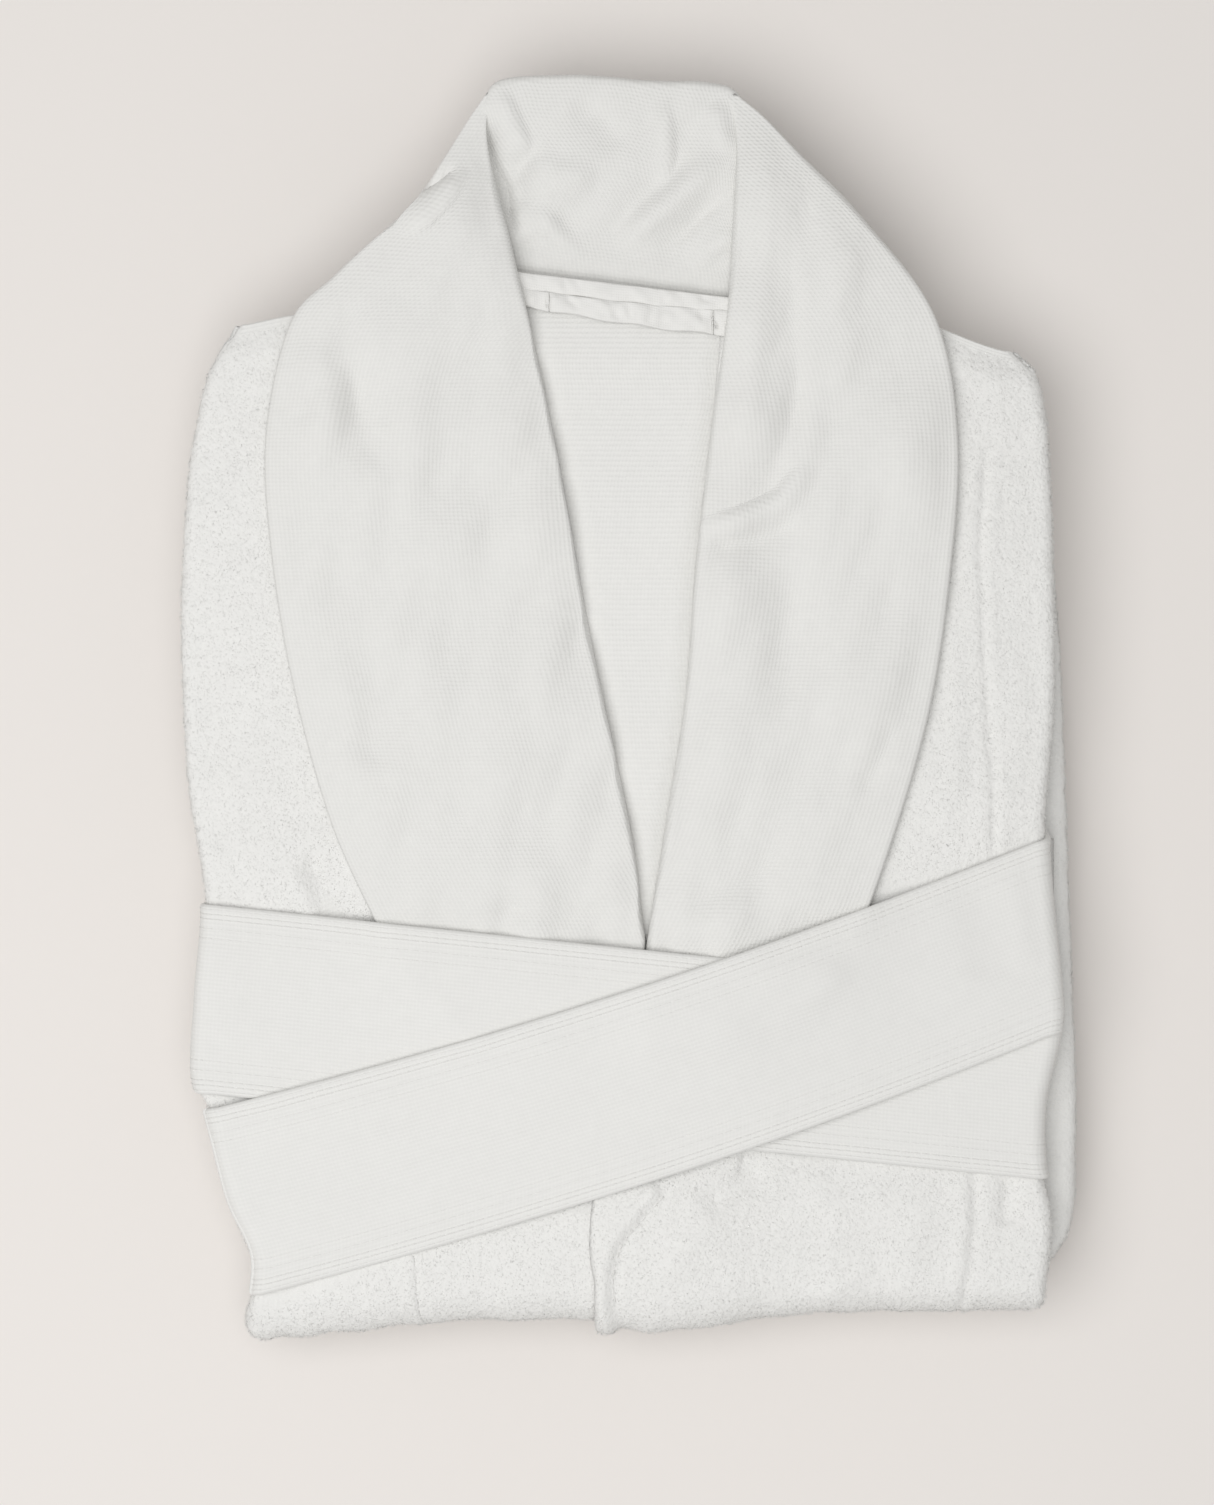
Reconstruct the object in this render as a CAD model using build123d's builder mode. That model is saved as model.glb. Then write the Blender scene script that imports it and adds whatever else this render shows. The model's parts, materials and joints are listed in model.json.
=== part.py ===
from build123d import *
import os

# A terry bathrobe with a shawl collar, folded face up into a flat package and tied with its belt.
# The origin is in the middle of the package's underside: +X to the right as seen from above,
# +Y towards the collar, +Z up, towards the viewer. All sizes are millimetres.
#
# The robe is folded in thirds like an accordion: skirt_lower lies on the table face up,
# skirt_middle lies on it face down, and the bodice lies on that face up. In every third the
# sides of the robe are folded in behind the back panel, as wings that meet near the middle.

# ---- driving dimensions ----
cloth = 2.2                      # one ply of terry
ply_gap = 0.2                    # air between plies
pitch = cloth + ply_gap          # from one ply to the next
plies_per_third = 6              # two wings, back, two fronts, and one for the pockets
belt_cloth = 2.4                 # the belt is two plies of ribbed cloth pressed flat
belt_width = 70.0

half_width = 158.0               # package centre to the folded side edge
wing_end_left = 6.0              # where the left wing's side seam lies, past the middle
wing_end_right = 14.0            # where the right wing's side seam lies
fold_top_y = 132.0               # fold between the lower and the middle third
fold_low_y = -212.0              # fold between the middle third and the bodice
shoulder_y = 147.0               # the bodice ends here, at the shoulder seams
neck_y = 148.0                   # neck seam
collar_top_y = 231.0             # top edge of the collar stand
fold_rounding = 1.8              # rounding of the back panel's two side folds
fold_share = 0.48                # rounding of a front's side turn, as a share of its height
belt_line_y = -70.0              # the lapels go under the belt below this line
v_point_x = 5.0                  # where the right lapel crosses over the left one
v_point_y = -92.0
front_edge_x = -15.0             # free edge of the right front, under the belt
under_front_x = 72.0             # hidden free edge of the left front, under the right front

fold_length = fold_top_y - fold_low_y
bodice_length = shoulder_y - fold_low_y

# ---- heights of the plies, all from the pitch ----
third = plies_per_third * pitch  # thickness of one folded third of the skirt
middle_top = 2 * third           # upper face of skirt_middle
sleeve_z = middle_top + ply_gap  # underside of the two sleeves
sleeve_height = 2 * cloth
belt_back_z = sleeve_z + sleeve_height + ply_gap
wing_z = belt_back_z + pitch     # underside of the bodice's wings
back_z = wing_z + 2 * pitch
left_front_z = back_z + pitch
right_front_z = left_front_z + pitch
undercollar_z = right_front_z + pitch
facing_z = undercollar_z + pitch
belt_a_z = facing_z + pitch
belt_b_z = belt_a_z + belt_cloth + ply_gap


def run_plane(y):
    """An XZ plane at height y of the package; extruding from it goes towards the hem."""
    return Plane.XZ.offset(-y)


def hook(edge_x, wing_x, end_x, wing_face, run_face):
    """Corners of a ply that runs across the front, round the side edge and back as a wing.

    wing_face and run_face are the outer faces of the wing and of the run."""
    inward = cloth if edge_x < 0 else -cloth
    up = cloth if run_face > wing_face else -cloth
    return [
        (wing_x, wing_face),
        (edge_x, wing_face),
        (edge_x, run_face),
        (end_x, run_face),
        (end_x, run_face - up),
        (edge_x + inward, run_face - up),
        (edge_x + inward, wing_face + up),
        (wing_x, wing_face + up),
    ]


def hook_radii(wing_face, run_face):
    """Rounding of each corner of a hook: nearly a half circle where the ply turns the side."""
    outer = fold_share * abs(run_face - wing_face)
    inner = fold_rounding + ply_gap
    return [0, outer, outer, 0, 0, inner, inner, 0]


def back_profile(wing_face, run_face):
    """Corners of the back panel: one straight run, both sides doubled back as wings.

    wing_face and run_face are the outer faces of the wings and of the run."""
    up = cloth if run_face > wing_face else -cloth
    edge = half_width - cloth - ply_gap
    slit = edge - cloth
    return [
        (wing_end_left, wing_face),
        (-edge, wing_face),
        (-edge, run_face),
        (edge, run_face),
        (edge, wing_face),
        (wing_end_right, wing_face),
        (wing_end_right, wing_face + up),
        (slit, wing_face + up),
        (slit, run_face - up),
        (-slit, run_face - up),
        (-slit, wing_face + up),
        (wing_end_left, wing_face + up),
    ]


back_radii = [0, fold_rounding, fold_rounding, fold_rounding, fold_rounding] + [0] * 7

# ---- skirt_lower: the hem third, face up on the table ----
with BuildPart() as skirt_lower_back:
    with BuildSketch(run_plane(fold_top_y)):
        with BuildLine():
            FilletPolyline(
                back_profile(pitch, 2 * pitch + cloth), radius=back_radii, close=True
            )
        make_face()
    extrude(amount=fold_length)
skirt_lower_back.part.label = "skirt_lower_back"

lower_left_top = 3 * pitch + cloth
with BuildPart() as skirt_lower_left_front:
    with BuildSketch(run_plane(fold_top_y)):
        with BuildLine():
            FilletPolyline(
                hook(-half_width, wing_end_left, under_front_x, 0, lower_left_top),
                radius=hook_radii(0, lower_left_top),
                close=True,
            )
        make_face()
    extrude(amount=fold_length)
skirt_lower_left_front.part.label = "skirt_lower_left_front"

lower_right_top = 4 * pitch + cloth
with BuildPart() as skirt_lower_right_front:
    with BuildSketch(run_plane(fold_top_y)):
        with BuildLine():
            FilletPolyline(
                hook(half_width, wing_end_right, front_edge_x, 0, lower_right_top),
                radius=hook_radii(0, lower_right_top),
                close=True,
            )
        make_face()
    extrude(amount=fold_length)
skirt_lower_right_front.part.label = "skirt_lower_right_front"

# ---- skirt_middle: the same plies face down, so every height is mirrored ----
with BuildPart() as skirt_middle_back:
    with BuildSketch(run_plane(fold_top_y)):
        with BuildLine():
            FilletPolyline(
                back_profile(middle_top - pitch, middle_top - 2 * pitch - cloth),
                radius=back_radii,
                close=True,
            )
        make_face()
    extrude(amount=fold_length)
skirt_middle_back.part.label = "skirt_middle_back"

middle_left_face = middle_top - lower_left_top
with BuildPart() as skirt_middle_left_front:
    with BuildSketch(run_plane(fold_top_y)):
        with BuildLine():
            FilletPolyline(
                hook(-half_width, wing_end_left, under_front_x, middle_top, middle_left_face),
                radius=hook_radii(middle_top, middle_left_face),
                close=True,
            )
        make_face()
    extrude(amount=fold_length)
skirt_middle_left_front.part.label = "skirt_middle_left_front"

middle_right_face = middle_top - lower_right_top
with BuildPart() as skirt_middle_right_front:
    with BuildSketch(run_plane(fold_top_y)):
        with BuildLine():
            FilletPolyline(
                hook(half_width, wing_end_right, front_edge_x, middle_top, middle_right_face),
                radius=hook_radii(middle_top, middle_right_face),
                close=True,
            )
        make_face()
    extrude(amount=fold_length)
skirt_middle_right_front.part.label = "skirt_middle_right_front"

# the two patch pockets lie on the fronts of the middle third, so under it in the package
pocket_width = 70.0
pocket_depth = 150.0
pocket_corner = 12.0             # rounding of a pocket's two bottom corners
pocket_seam_x = 81.0             # inner edge of each pocket
pocket_clear = 0.6               # space between the pocket and the fold
left_pocket_z = middle_left_face - cloth - ply_gap
right_pocket_z = middle_right_face - cloth - ply_gap
pocket_y = fold_low_y + pocket_clear + pocket_depth / 2

with BuildPart() as left_pocket:
    with BuildSketch(Plane.XY.offset(left_pocket_z)):
        with Locations((-pocket_seam_x - pocket_width / 2, pocket_y)):
            Rectangle(pocket_width, pocket_depth)
    extrude(amount=cloth)
    fillet(left_pocket.edges().filter_by(Axis.Z).group_by(Axis.Y)[-1], radius=pocket_corner)
left_pocket.part.label = "left_pocket"

with BuildPart() as right_pocket:
    with BuildSketch(Plane.XY.offset(right_pocket_z)):
        with Locations((pocket_seam_x + pocket_width / 2, pocket_y)):
            Rectangle(pocket_width, pocket_depth)
    extrude(amount=cloth)
    fillet(right_pocket.edges().filter_by(Axis.Z).group_by(Axis.Y)[-1], radius=pocket_corner)
right_pocket.part.label = "right_pocket"

# ---- bodice: the upper third, face up on top ----
shoulder_corner = 30.0           # how far the rounded shoulder reaches in from the side
shoulder_drop = 60.0             # how far it reaches down the side
shoulder_bend = 9.0              # how far its middle stays in from the square corner
shoulder_slope = 0.1             # fall of the shoulder seam where the rounding starts
outline_margin = 1.0             # the cutting outline stands this far outside the plies


def bodice_outline():
    """The bodice seen from above: straight sides and two rounded shoulders."""
    edge = half_width + outline_margin
    low_y = fold_low_y - outline_margin
    drop_y = shoulder_y - shoulder_drop
    bend_y = shoulder_y - shoulder_bend
    with BuildLine() as outline:
        Line((-edge + shoulder_corner, shoulder_y), (edge - shoulder_corner, shoulder_y))
        Spline(
            (edge - shoulder_corner, shoulder_y),
            (edge - shoulder_bend, bend_y),
            (edge, drop_y),
            tangents=[(1, -shoulder_slope), (0, -1)],
        )
        Polyline((edge, drop_y), (edge, low_y), (-edge, low_y), (-edge, drop_y))
        Spline(
            (-edge, drop_y),
            (-edge + shoulder_bend, bend_y),
            (-edge + shoulder_corner, shoulder_y),
            tangents=[(0, 1), (1, shoulder_slope)],
        )
    return outline.line


bodice_edge = bodice_outline()
bodice_height = belt_b_z - wing_z

# roll lines: the straight lines that the lapels turn over along
roll_top_y = 199.0               # upper end of both roll lines, beside the collar stand
left_roll_low = Vector(1, belt_line_y)
left_roll_high = Vector(-52, roll_top_y)
right_roll_low = Vector(12, belt_line_y)
right_roll_high = Vector(39, roll_top_y)


def on_line(low, high, y):
    """The point at height y on the line through two points."""
    share = (y - low.Y) / (high.Y - low.Y)
    return (low.X + share * (high.X - low.X), y)


with BuildPart() as bodice_back:
    with BuildSketch(run_plane(shoulder_y)):
        with BuildLine():
            FilletPolyline(
                back_profile(wing_z + pitch, back_z + cloth), radius=back_radii, close=True
            )
        make_face()
    extrude(amount=bodice_length)
    with BuildSketch(Plane.XY.offset(wing_z)):
        add(bodice_edge)
        make_face()
    extrude(amount=bodice_height, mode=Mode.INTERSECT)
bodice_back.part.label = "bodice_back"

with BuildPart() as bodice_left_front:
    with BuildSketch(run_plane(shoulder_y)):
        with BuildLine():
            FilletPolyline(
                hook(-half_width, wing_end_left, under_front_x, wing_z, left_front_z + cloth),
                radius=hook_radii(wing_z, left_front_z + cloth),
                close=True,
            )
        make_face()
    extrude(amount=bodice_length)
    with BuildSketch(Plane.XY.offset(wing_z)):
        add(bodice_edge)
        make_face()
    extrude(amount=bodice_height, mode=Mode.INTERSECT)
    with BuildSketch(Plane.XY.offset(left_front_z - ply_gap)):
        with BuildLine():
            Polyline(
                on_line(left_roll_low, left_roll_high, shoulder_y + outline_margin),
                (left_roll_low.X, left_roll_low.Y),
                (v_point_x, v_point_y),
                (under_front_x + outline_margin, v_point_y),
                (under_front_x + outline_margin, shoulder_y + outline_margin),
                close=True,
            )
        make_face()
    extrude(amount=pitch + ply_gap, mode=Mode.SUBTRACT)
bodice_left_front.part.label = "bodice_left_front"

front_edge_y = -182.0            # below here the right front's edge runs straight to the fold
with BuildPart() as bodice_right_front:
    with BuildSketch(run_plane(shoulder_y)):
        with BuildLine():
            FilletPolyline(
                hook(half_width, wing_end_right, front_edge_x, wing_z, right_front_z + cloth),
                radius=hook_radii(wing_z, right_front_z + cloth),
                close=True,
            )
        make_face()
    extrude(amount=bodice_length)
    with BuildSketch(Plane.XY.offset(wing_z)):
        add(bodice_edge)
        make_face()
    extrude(amount=bodice_height, mode=Mode.INTERSECT)
    with BuildSketch(Plane.XY.offset(right_front_z - ply_gap)):
        with BuildLine():
            Polyline(
                on_line(right_roll_low, right_roll_high, shoulder_y + outline_margin),
                (right_roll_low.X, right_roll_low.Y),
                (v_point_x, v_point_y),
                (front_edge_x, front_edge_y),
                (front_edge_x - outline_margin, front_edge_y),
                (front_edge_x - outline_margin, shoulder_y + outline_margin),
                close=True,
            )
        make_face()
    extrude(amount=pitch + ply_gap, mode=Mode.SUBTRACT)
bodice_right_front.part.label = "bodice_right_front"

# the left pocket's hemmed mouth shows below the belt; the fold parts it from the pocket bag
mouth_depth = 22.0
with BuildPart() as left_pocket_mouth:
    with BuildSketch(Plane.XY.offset(right_front_z)):
        with Locations((-pocket_seam_x - pocket_width / 2, fold_low_y + mouth_depth / 2)):
            Rectangle(pocket_width, mouth_depth)
    extrude(amount=cloth)
left_pocket_mouth.part.label = "left_pocket_mouth"

# ---- collar stand: the standing part of the shawl collar, laid flat behind the neck ----
stand_low_y = 157.0
stand_low_left_x = -66.0         # lower corners, under the lapels
stand_low_right_x = 54.0
stand_left_edge = [(-48, collar_top_y), (-62, 220), (-70, 204)]
stand_right_edge = [(56, 205), (46, 221), (33, collar_top_y - 2)]


def collar_stand_outline():
    """The back of the collar from above: neck seam below, rolled corners above."""
    with BuildLine() as outline:
        Polyline(
            (stand_low_left_x, stand_low_y), (stand_low_right_x, stand_low_y), stand_right_edge[0]
        )
        Spline(*stand_right_edge)
        Line(stand_right_edge[-1], stand_left_edge[0])
        Spline(*stand_left_edge)
        Line(stand_left_edge[-1], (stand_low_left_x, stand_low_y))
    return outline.line


stand_edge = collar_stand_outline()

with BuildPart() as undercollar_back:
    with BuildSketch(Plane.XY.offset(back_z)):
        add(stand_edge)
        make_face()
    extrude(amount=cloth)
undercollar_back.part.label = "undercollar_back"

with BuildPart() as collar_facing_back:
    with BuildSketch(Plane.XY.offset(left_front_z)):
        add(stand_edge)
        make_face()
    extrude(amount=cloth)
collar_facing_back.part.label = "collar_facing_back"

tape_thickness = 0.8
tape_top_y = stand_low_y - 0.5
tape_left_x = -43.0              # upper corners, under the two lapels' rolls
tape_right_x = 35.0
tape_low_edge = [(33, neck_y + 1), (-20, neck_y + 5), (-40, neck_y + 7)]
with BuildPart() as neck_tape:
    with BuildSketch(Plane.XY.offset(left_front_z)):
        with BuildLine():
            Polyline(
                (tape_left_x, tape_top_y), (tape_right_x, tape_top_y), *tape_low_edge, close=True
            )
        make_face()
    extrude(amount=tape_thickness)
neck_tape.part.label = "neck_tape"

# ---- lapels: two plies each, undercollar below and facing above ----
# outer edge of each lapel, from the stand down to the belt
left_lapel_edge_points = [
    (-71, 203), (-92, 175), (-125.5, 143.5), (-135, 103), (-134, 63), (-103, belt_line_y),
]
right_lapel_edge_points = [
    (65, 204), (84, 184), (112, 147), (121, 103), (119, 55), (88, belt_line_y),
]


def lapel_outline(roll_low, roll_high, edge_points):
    """A lapel from above: straight along its roll line, curved along its outer edge."""
    low = (roll_low.X, roll_low.Y)
    high = (roll_high.X, roll_high.Y)
    with BuildLine() as outline:
        Line(low, high)
        Line(high, edge_points[0])
        Spline(*edge_points)
        Line(edge_points[-1], low)
    return outline.line


left_lapel_edge = lapel_outline(left_roll_low, left_roll_high, left_lapel_edge_points)
right_lapel_edge = lapel_outline(right_roll_low, right_roll_high, right_lapel_edge_points)

with BuildPart() as left_lapel_undercollar:
    with BuildSketch(Plane.XY.offset(undercollar_z)):
        add(left_lapel_edge)
        make_face()
    extrude(amount=cloth)
left_lapel_undercollar.part.label = "left_lapel_undercollar"

with BuildPart() as left_lapel_facing:
    with BuildSketch(Plane.XY.offset(facing_z)):
        add(left_lapel_edge)
        make_face()
    extrude(amount=cloth)
left_lapel_facing.part.label = "left_lapel_facing"

with BuildPart() as right_lapel_undercollar:
    with BuildSketch(Plane.XY.offset(undercollar_z)):
        add(right_lapel_edge)
        make_face()
    extrude(amount=cloth)
right_lapel_undercollar.part.label = "right_lapel_undercollar"

with BuildPart() as right_lapel_facing:
    with BuildSketch(Plane.XY.offset(facing_z)):
        add(right_lapel_edge)
        make_face()
    extrude(amount=cloth)
right_lapel_facing.part.label = "right_lapel_facing"

# the lapels' lower ends stay pinned under the belt
end_clear = 0.6
end_top_y = belt_line_y - end_clear
left_end_low = [(3, v_point_y), (-62, -124), (-91, -112)]
right_end_low = [(76, -108), (40, -124), (4, -128), (5, v_point_y)]
with BuildPart() as left_lapel_end:
    with BuildSketch(Plane.XY.offset(undercollar_z)):
        with BuildLine():
            Polyline(
                (left_lapel_edge_points[-1][0], end_top_y),
                (left_roll_low.X, end_top_y),
                *left_end_low,
                close=True,
            )
        make_face()
    extrude(amount=pitch + cloth)
left_lapel_end.part.label = "left_lapel_end"

with BuildPart() as right_lapel_end:
    with BuildSketch(Plane.XY.offset(undercollar_z)):
        with BuildLine():
            Polyline(
                (right_roll_low.X, end_top_y),
                (right_lapel_edge_points[-1][0], end_top_y),
                *right_end_low,
                close=True,
            )
        make_face()
    extrude(amount=pitch + cloth)
right_lapel_end.part.label = "right_lapel_end"

# ---- hanger loop: a narrow band sewn down at both ends below the neck tape ----
loop_width = 7.0
loop_thickness = 1.2
loop_half = 29.0                 # half the free length
loop_sag = 3.0                   # the free middle hangs this much below the ends
loop_mid = (0.5, 149.5)          # middle of the line between the free length's upper corners
loop_tilt = -7.0                 # the band runs down to the right, in degrees
loop_raise = 1.0                 # the band lies this much above the neck tape's underside
loop_z = left_front_z + loop_raise
bartack_width = 2.4
bartack_clear = 0.6
loop_turn = Vector(1, 0, 0).rotate(Axis.Z, loop_tilt)
loop_down = Vector(0, -1, 0).rotate(Axis.Z, loop_tilt)


def loop_point(along, down):
    """A point of the band: along its upper edge from the middle, and down across it."""
    return (
        loop_mid[0] + along * loop_turn.X + down * loop_down.X,
        loop_mid[1] + along * loop_turn.Y + down * loop_down.Y,
    )


with BuildPart() as hanger_loop:
    with BuildSketch(Plane.XY.offset(loop_z)):
        with BuildLine():
            ThreePointArc(
                loop_point(-loop_half, 0), loop_point(0, loop_sag), loop_point(loop_half, 0)
            )
            Line(loop_point(loop_half, 0), loop_point(loop_half, loop_width))
            ThreePointArc(
                loop_point(loop_half, loop_width),
                loop_point(0, loop_sag + loop_width),
                loop_point(-loop_half, loop_width),
            )
            Line(loop_point(-loop_half, loop_width), loop_point(-loop_half, 0))
        make_face()
    extrude(amount=loop_thickness)
hanger_loop.part.label = "hanger_loop"

tack_place = loop_half + bartack_clear + bartack_width / 2
with BuildPart() as hanger_loop_bartacks:
    with BuildSketch(Plane.XY.offset(left_front_z)):
        with Locations(
            Location((*loop_point(-tack_place, loop_width / 2), 0), (0, 0, loop_tilt)),
            Location((*loop_point(tack_place, loop_width / 2), 0), (0, 0, loop_tilt)),
        ):
            Rectangle(bartack_width, loop_width)
    extrude(amount=loop_raise + loop_thickness)
hanger_loop_bartacks.part.label = "hanger_loop_bartacks"

# ---- sleeves: flat tubes folded behind the back, each with a turned-back cuff ----
sleeve_inner_x = 12.0            # package centre to the sleeve's nearer edge
sleeve_outer_x = 150.0
sleeve_top_y = 138.0
cuff_top_y = -140.0
cuff_low_y = -206.0
slit_height = 0.8                # opening between the sleeve's two plies, where the arm goes
sleeve_length = sleeve_top_y - cuff_top_y
cuff_length = cuff_top_y - cuff_low_y - end_clear
sleeve_mid_x = (sleeve_inner_x + sleeve_outer_x) / 2
sleeve_width = sleeve_outer_x - sleeve_inner_x
sleeve_mid_z = sleeve_z + sleeve_height / 2
hem_in = 2.0                     # side walls of the flat tubes
tube_rounding = 2.0              # rounding of the flat tubes' edges

with BuildPart() as left_sleeve:
    with BuildSketch(run_plane(sleeve_top_y)):
        with Locations((-sleeve_mid_x, sleeve_mid_z)):
            RectangleRounded(sleeve_width, sleeve_height, tube_rounding)
            Rectangle(sleeve_width - 2 * hem_in, slit_height, mode=Mode.SUBTRACT)
    extrude(amount=sleeve_length)
left_sleeve.part.label = "left_sleeve"

with BuildPart() as right_sleeve:
    with BuildSketch(run_plane(sleeve_top_y)):
        with Locations((sleeve_mid_x, sleeve_mid_z)):
            RectangleRounded(sleeve_width, sleeve_height, tube_rounding)
            Rectangle(sleeve_width - 2 * hem_in, slit_height, mode=Mode.SUBTRACT)
    extrude(amount=sleeve_length)
right_sleeve.part.label = "right_sleeve"

with BuildPart() as left_cuff:
    with BuildSketch(run_plane(cuff_top_y - end_clear)):
        with Locations((-sleeve_mid_x, sleeve_mid_z)):
            RectangleRounded(sleeve_width, sleeve_height, tube_rounding)
            Rectangle(sleeve_width - 2 * hem_in, slit_height, mode=Mode.SUBTRACT)
    extrude(amount=cuff_length)
left_cuff.part.label = "left_cuff"

with BuildPart() as right_cuff:
    with BuildSketch(run_plane(cuff_top_y - end_clear)):
        with Locations((sleeve_mid_x, sleeve_mid_z)):
            RectangleRounded(sleeve_width, sleeve_height, tube_rounding)
            Rectangle(sleeve_width - 2 * hem_in, slit_height, mode=Mode.SUBTRACT)
    extrude(amount=cuff_length)
right_cuff.part.label = "right_cuff"

# ---- belt: it runs behind the bodice, over the sleeves' side, and crosses itself in front ----
wrap_in = half_width + ply_gap   # inner face of the belt where it turns a side
wrap_out = wrap_in + belt_cloth
ramp_out_x = 125.0               # outside this the strands lie down on the terry
ramp_in_x = 112.0                # inside this they lie on the lapels
left_a_z = left_front_z + pitch  # the under strand's heights at the two sides
right_a_z = right_front_z + pitch
side_b_z = right_a_z + belt_cloth + ply_gap
under_top_y = -60.0              # the under strand is cut from a profile between these two
under_low_y = -180.0
top_top_y = -40.0                # and the top strand from one between these two
top_low_y = -220.0
under_outline = [(-165, -72), (-165, -141), (165, -171), (165, -108)]
top_outline = [
    (-158, -150), (-137, -214), (-15, -180), (40, -166), (160, -118), (160, -46), (92, -72),
]

with BuildPart() as belt_under_strand:
    with BuildSketch(run_plane(under_top_y)):
        with BuildLine():
            Polyline(
                (-wrap_in, belt_back_z + pitch),
                (-wrap_in, left_a_z),
                (-ramp_out_x, left_a_z),
                (-ramp_in_x, belt_a_z),
                (ramp_in_x, belt_a_z),
                (ramp_out_x, right_a_z),
                (wrap_in, right_a_z),
                (wrap_in, belt_back_z),
                (wrap_out, belt_back_z),
                (wrap_out, right_a_z + belt_cloth),
                (ramp_out_x, right_a_z + belt_cloth),
                (ramp_in_x, belt_a_z + belt_cloth),
                (-ramp_in_x, belt_a_z + belt_cloth),
                (-ramp_out_x, left_a_z + belt_cloth),
                (-wrap_out, left_a_z + belt_cloth),
                (-wrap_out, belt_back_z + pitch),
                close=True,
            )
        make_face()
    extrude(amount=under_top_y - under_low_y)
    with BuildSketch(Plane.XY.offset(belt_back_z)):
        with BuildLine():
            Polyline(*under_outline, close=True)
        make_face()
    extrude(amount=belt_b_z - belt_back_z, mode=Mode.INTERSECT)
belt_under_strand.part.label = "belt_under_strand"

with BuildPart() as belt_top_strand:
    with BuildSketch(run_plane(top_top_y)):
        with BuildLine():
            Polyline(
                (-half_width, side_b_z),
                (-ramp_out_x, side_b_z),
                (-ramp_in_x, belt_b_z),
                (ramp_in_x, belt_b_z),
                (ramp_out_x, side_b_z),
                (half_width, side_b_z),
                (half_width, side_b_z + belt_cloth),
                (ramp_out_x, side_b_z + belt_cloth),
                (ramp_in_x, belt_b_z + belt_cloth),
                (-ramp_in_x, belt_b_z + belt_cloth),
                (-ramp_out_x, side_b_z + belt_cloth),
                (-half_width, side_b_z + belt_cloth),
                close=True,
            )
        make_face()
    extrude(amount=top_top_y - top_low_y)
    with BuildSketch(Plane.XY.offset(side_b_z)):
        with BuildLine():
            Polyline(*top_outline, close=True)
        make_face()
    extrude(amount=belt_b_z + 2 * belt_cloth - side_b_z, mode=Mode.INTERSECT)
belt_top_strand.part.label = "belt_top_strand"

# from the top strand's fold down the right side, behind the back and round to the left side
wrap_top_y = -48.0               # upper edge of the right side wrap
wrap_low_y = -106.0              # its lower edge, clear of the under strand
wrap_clear = 0.3                 # space between the side wrap and the top strand
wrap_foot = 1.0                  # the back run ends this far inside the side wrap
back_left_top_y = -72.0          # the run behind the back, at the left side
back_left_low_y = -141.0
back_right_low_y = -118.0
with BuildPart() as belt_back_run:
    with BuildSketch(Plane.XY.offset(belt_back_z)):
        with BuildLine():
            Polyline(
                (wrap_out, wrap_top_y),
                (-wrap_out, back_left_top_y),
                (-wrap_out, back_left_low_y),
                (wrap_in - wrap_foot, back_right_low_y),
                (wrap_in - wrap_foot, wrap_low_y),
                (wrap_out, wrap_low_y),
                close=True,
            )
        make_face()
    extrude(amount=belt_cloth - ply_gap)
    with BuildSketch(Plane.XY.offset(belt_back_z + belt_cloth - ply_gap)):
        with BuildLine():
            Polyline(
                (wrap_in, wrap_top_y),
                (wrap_out, wrap_top_y),
                (wrap_out, wrap_low_y),
                (wrap_in, wrap_low_y),
                close=True,
            )
        make_face()
    extrude(amount=side_b_z - wrap_clear - belt_back_z - belt_cloth)
belt_back_run.part.label = "belt_back_run"

# thread-covered carriers at the waist, on the two side seams
carrier_width = 8.0
carrier_length = 58.0
carrier_y = 2.0
with BuildPart() as left_belt_loop:
    with BuildSketch(Plane.XY.offset(wing_z - cloth)):
        with Locations((wing_end_left - carrier_width, carrier_y)):
            Rectangle(carrier_width, carrier_length)
    extrude(amount=cloth - ply_gap)
left_belt_loop.part.label = "left_belt_loop"

with BuildPart() as right_belt_loop:
    with BuildSketch(Plane.XY.offset(wing_z - cloth)):
        with Locations((wing_end_right + carrier_width, carrier_y)):
            Rectangle(carrier_width, carrier_length)
    extrude(amount=cloth - ply_gap)
right_belt_loop.part.label = "right_belt_loop"

# ---- files: one STEP for each piece ----
pieces = [
    skirt_lower_back,
    skirt_lower_left_front,
    skirt_lower_right_front,
    skirt_middle_back,
    skirt_middle_left_front,
    skirt_middle_right_front,
    left_pocket,
    right_pocket,
    bodice_back,
    bodice_left_front,
    bodice_right_front,
    left_pocket_mouth,
    undercollar_back,
    collar_facing_back,
    neck_tape,
    left_lapel_undercollar,
    left_lapel_facing,
    right_lapel_undercollar,
    right_lapel_facing,
    left_lapel_end,
    right_lapel_end,
    hanger_loop,
    hanger_loop_bartacks,
    left_sleeve,
    right_sleeve,
    left_cuff,
    right_cuff,
    belt_under_strand,
    belt_top_strand,
    belt_back_run,
    left_belt_loop,
    right_belt_loop,
]
os.makedirs("parts", exist_ok=True)
for piece in pieces:
    export_step(piece.part, "parts/" + piece.part.label + ".step")
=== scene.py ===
import json
import math

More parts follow.
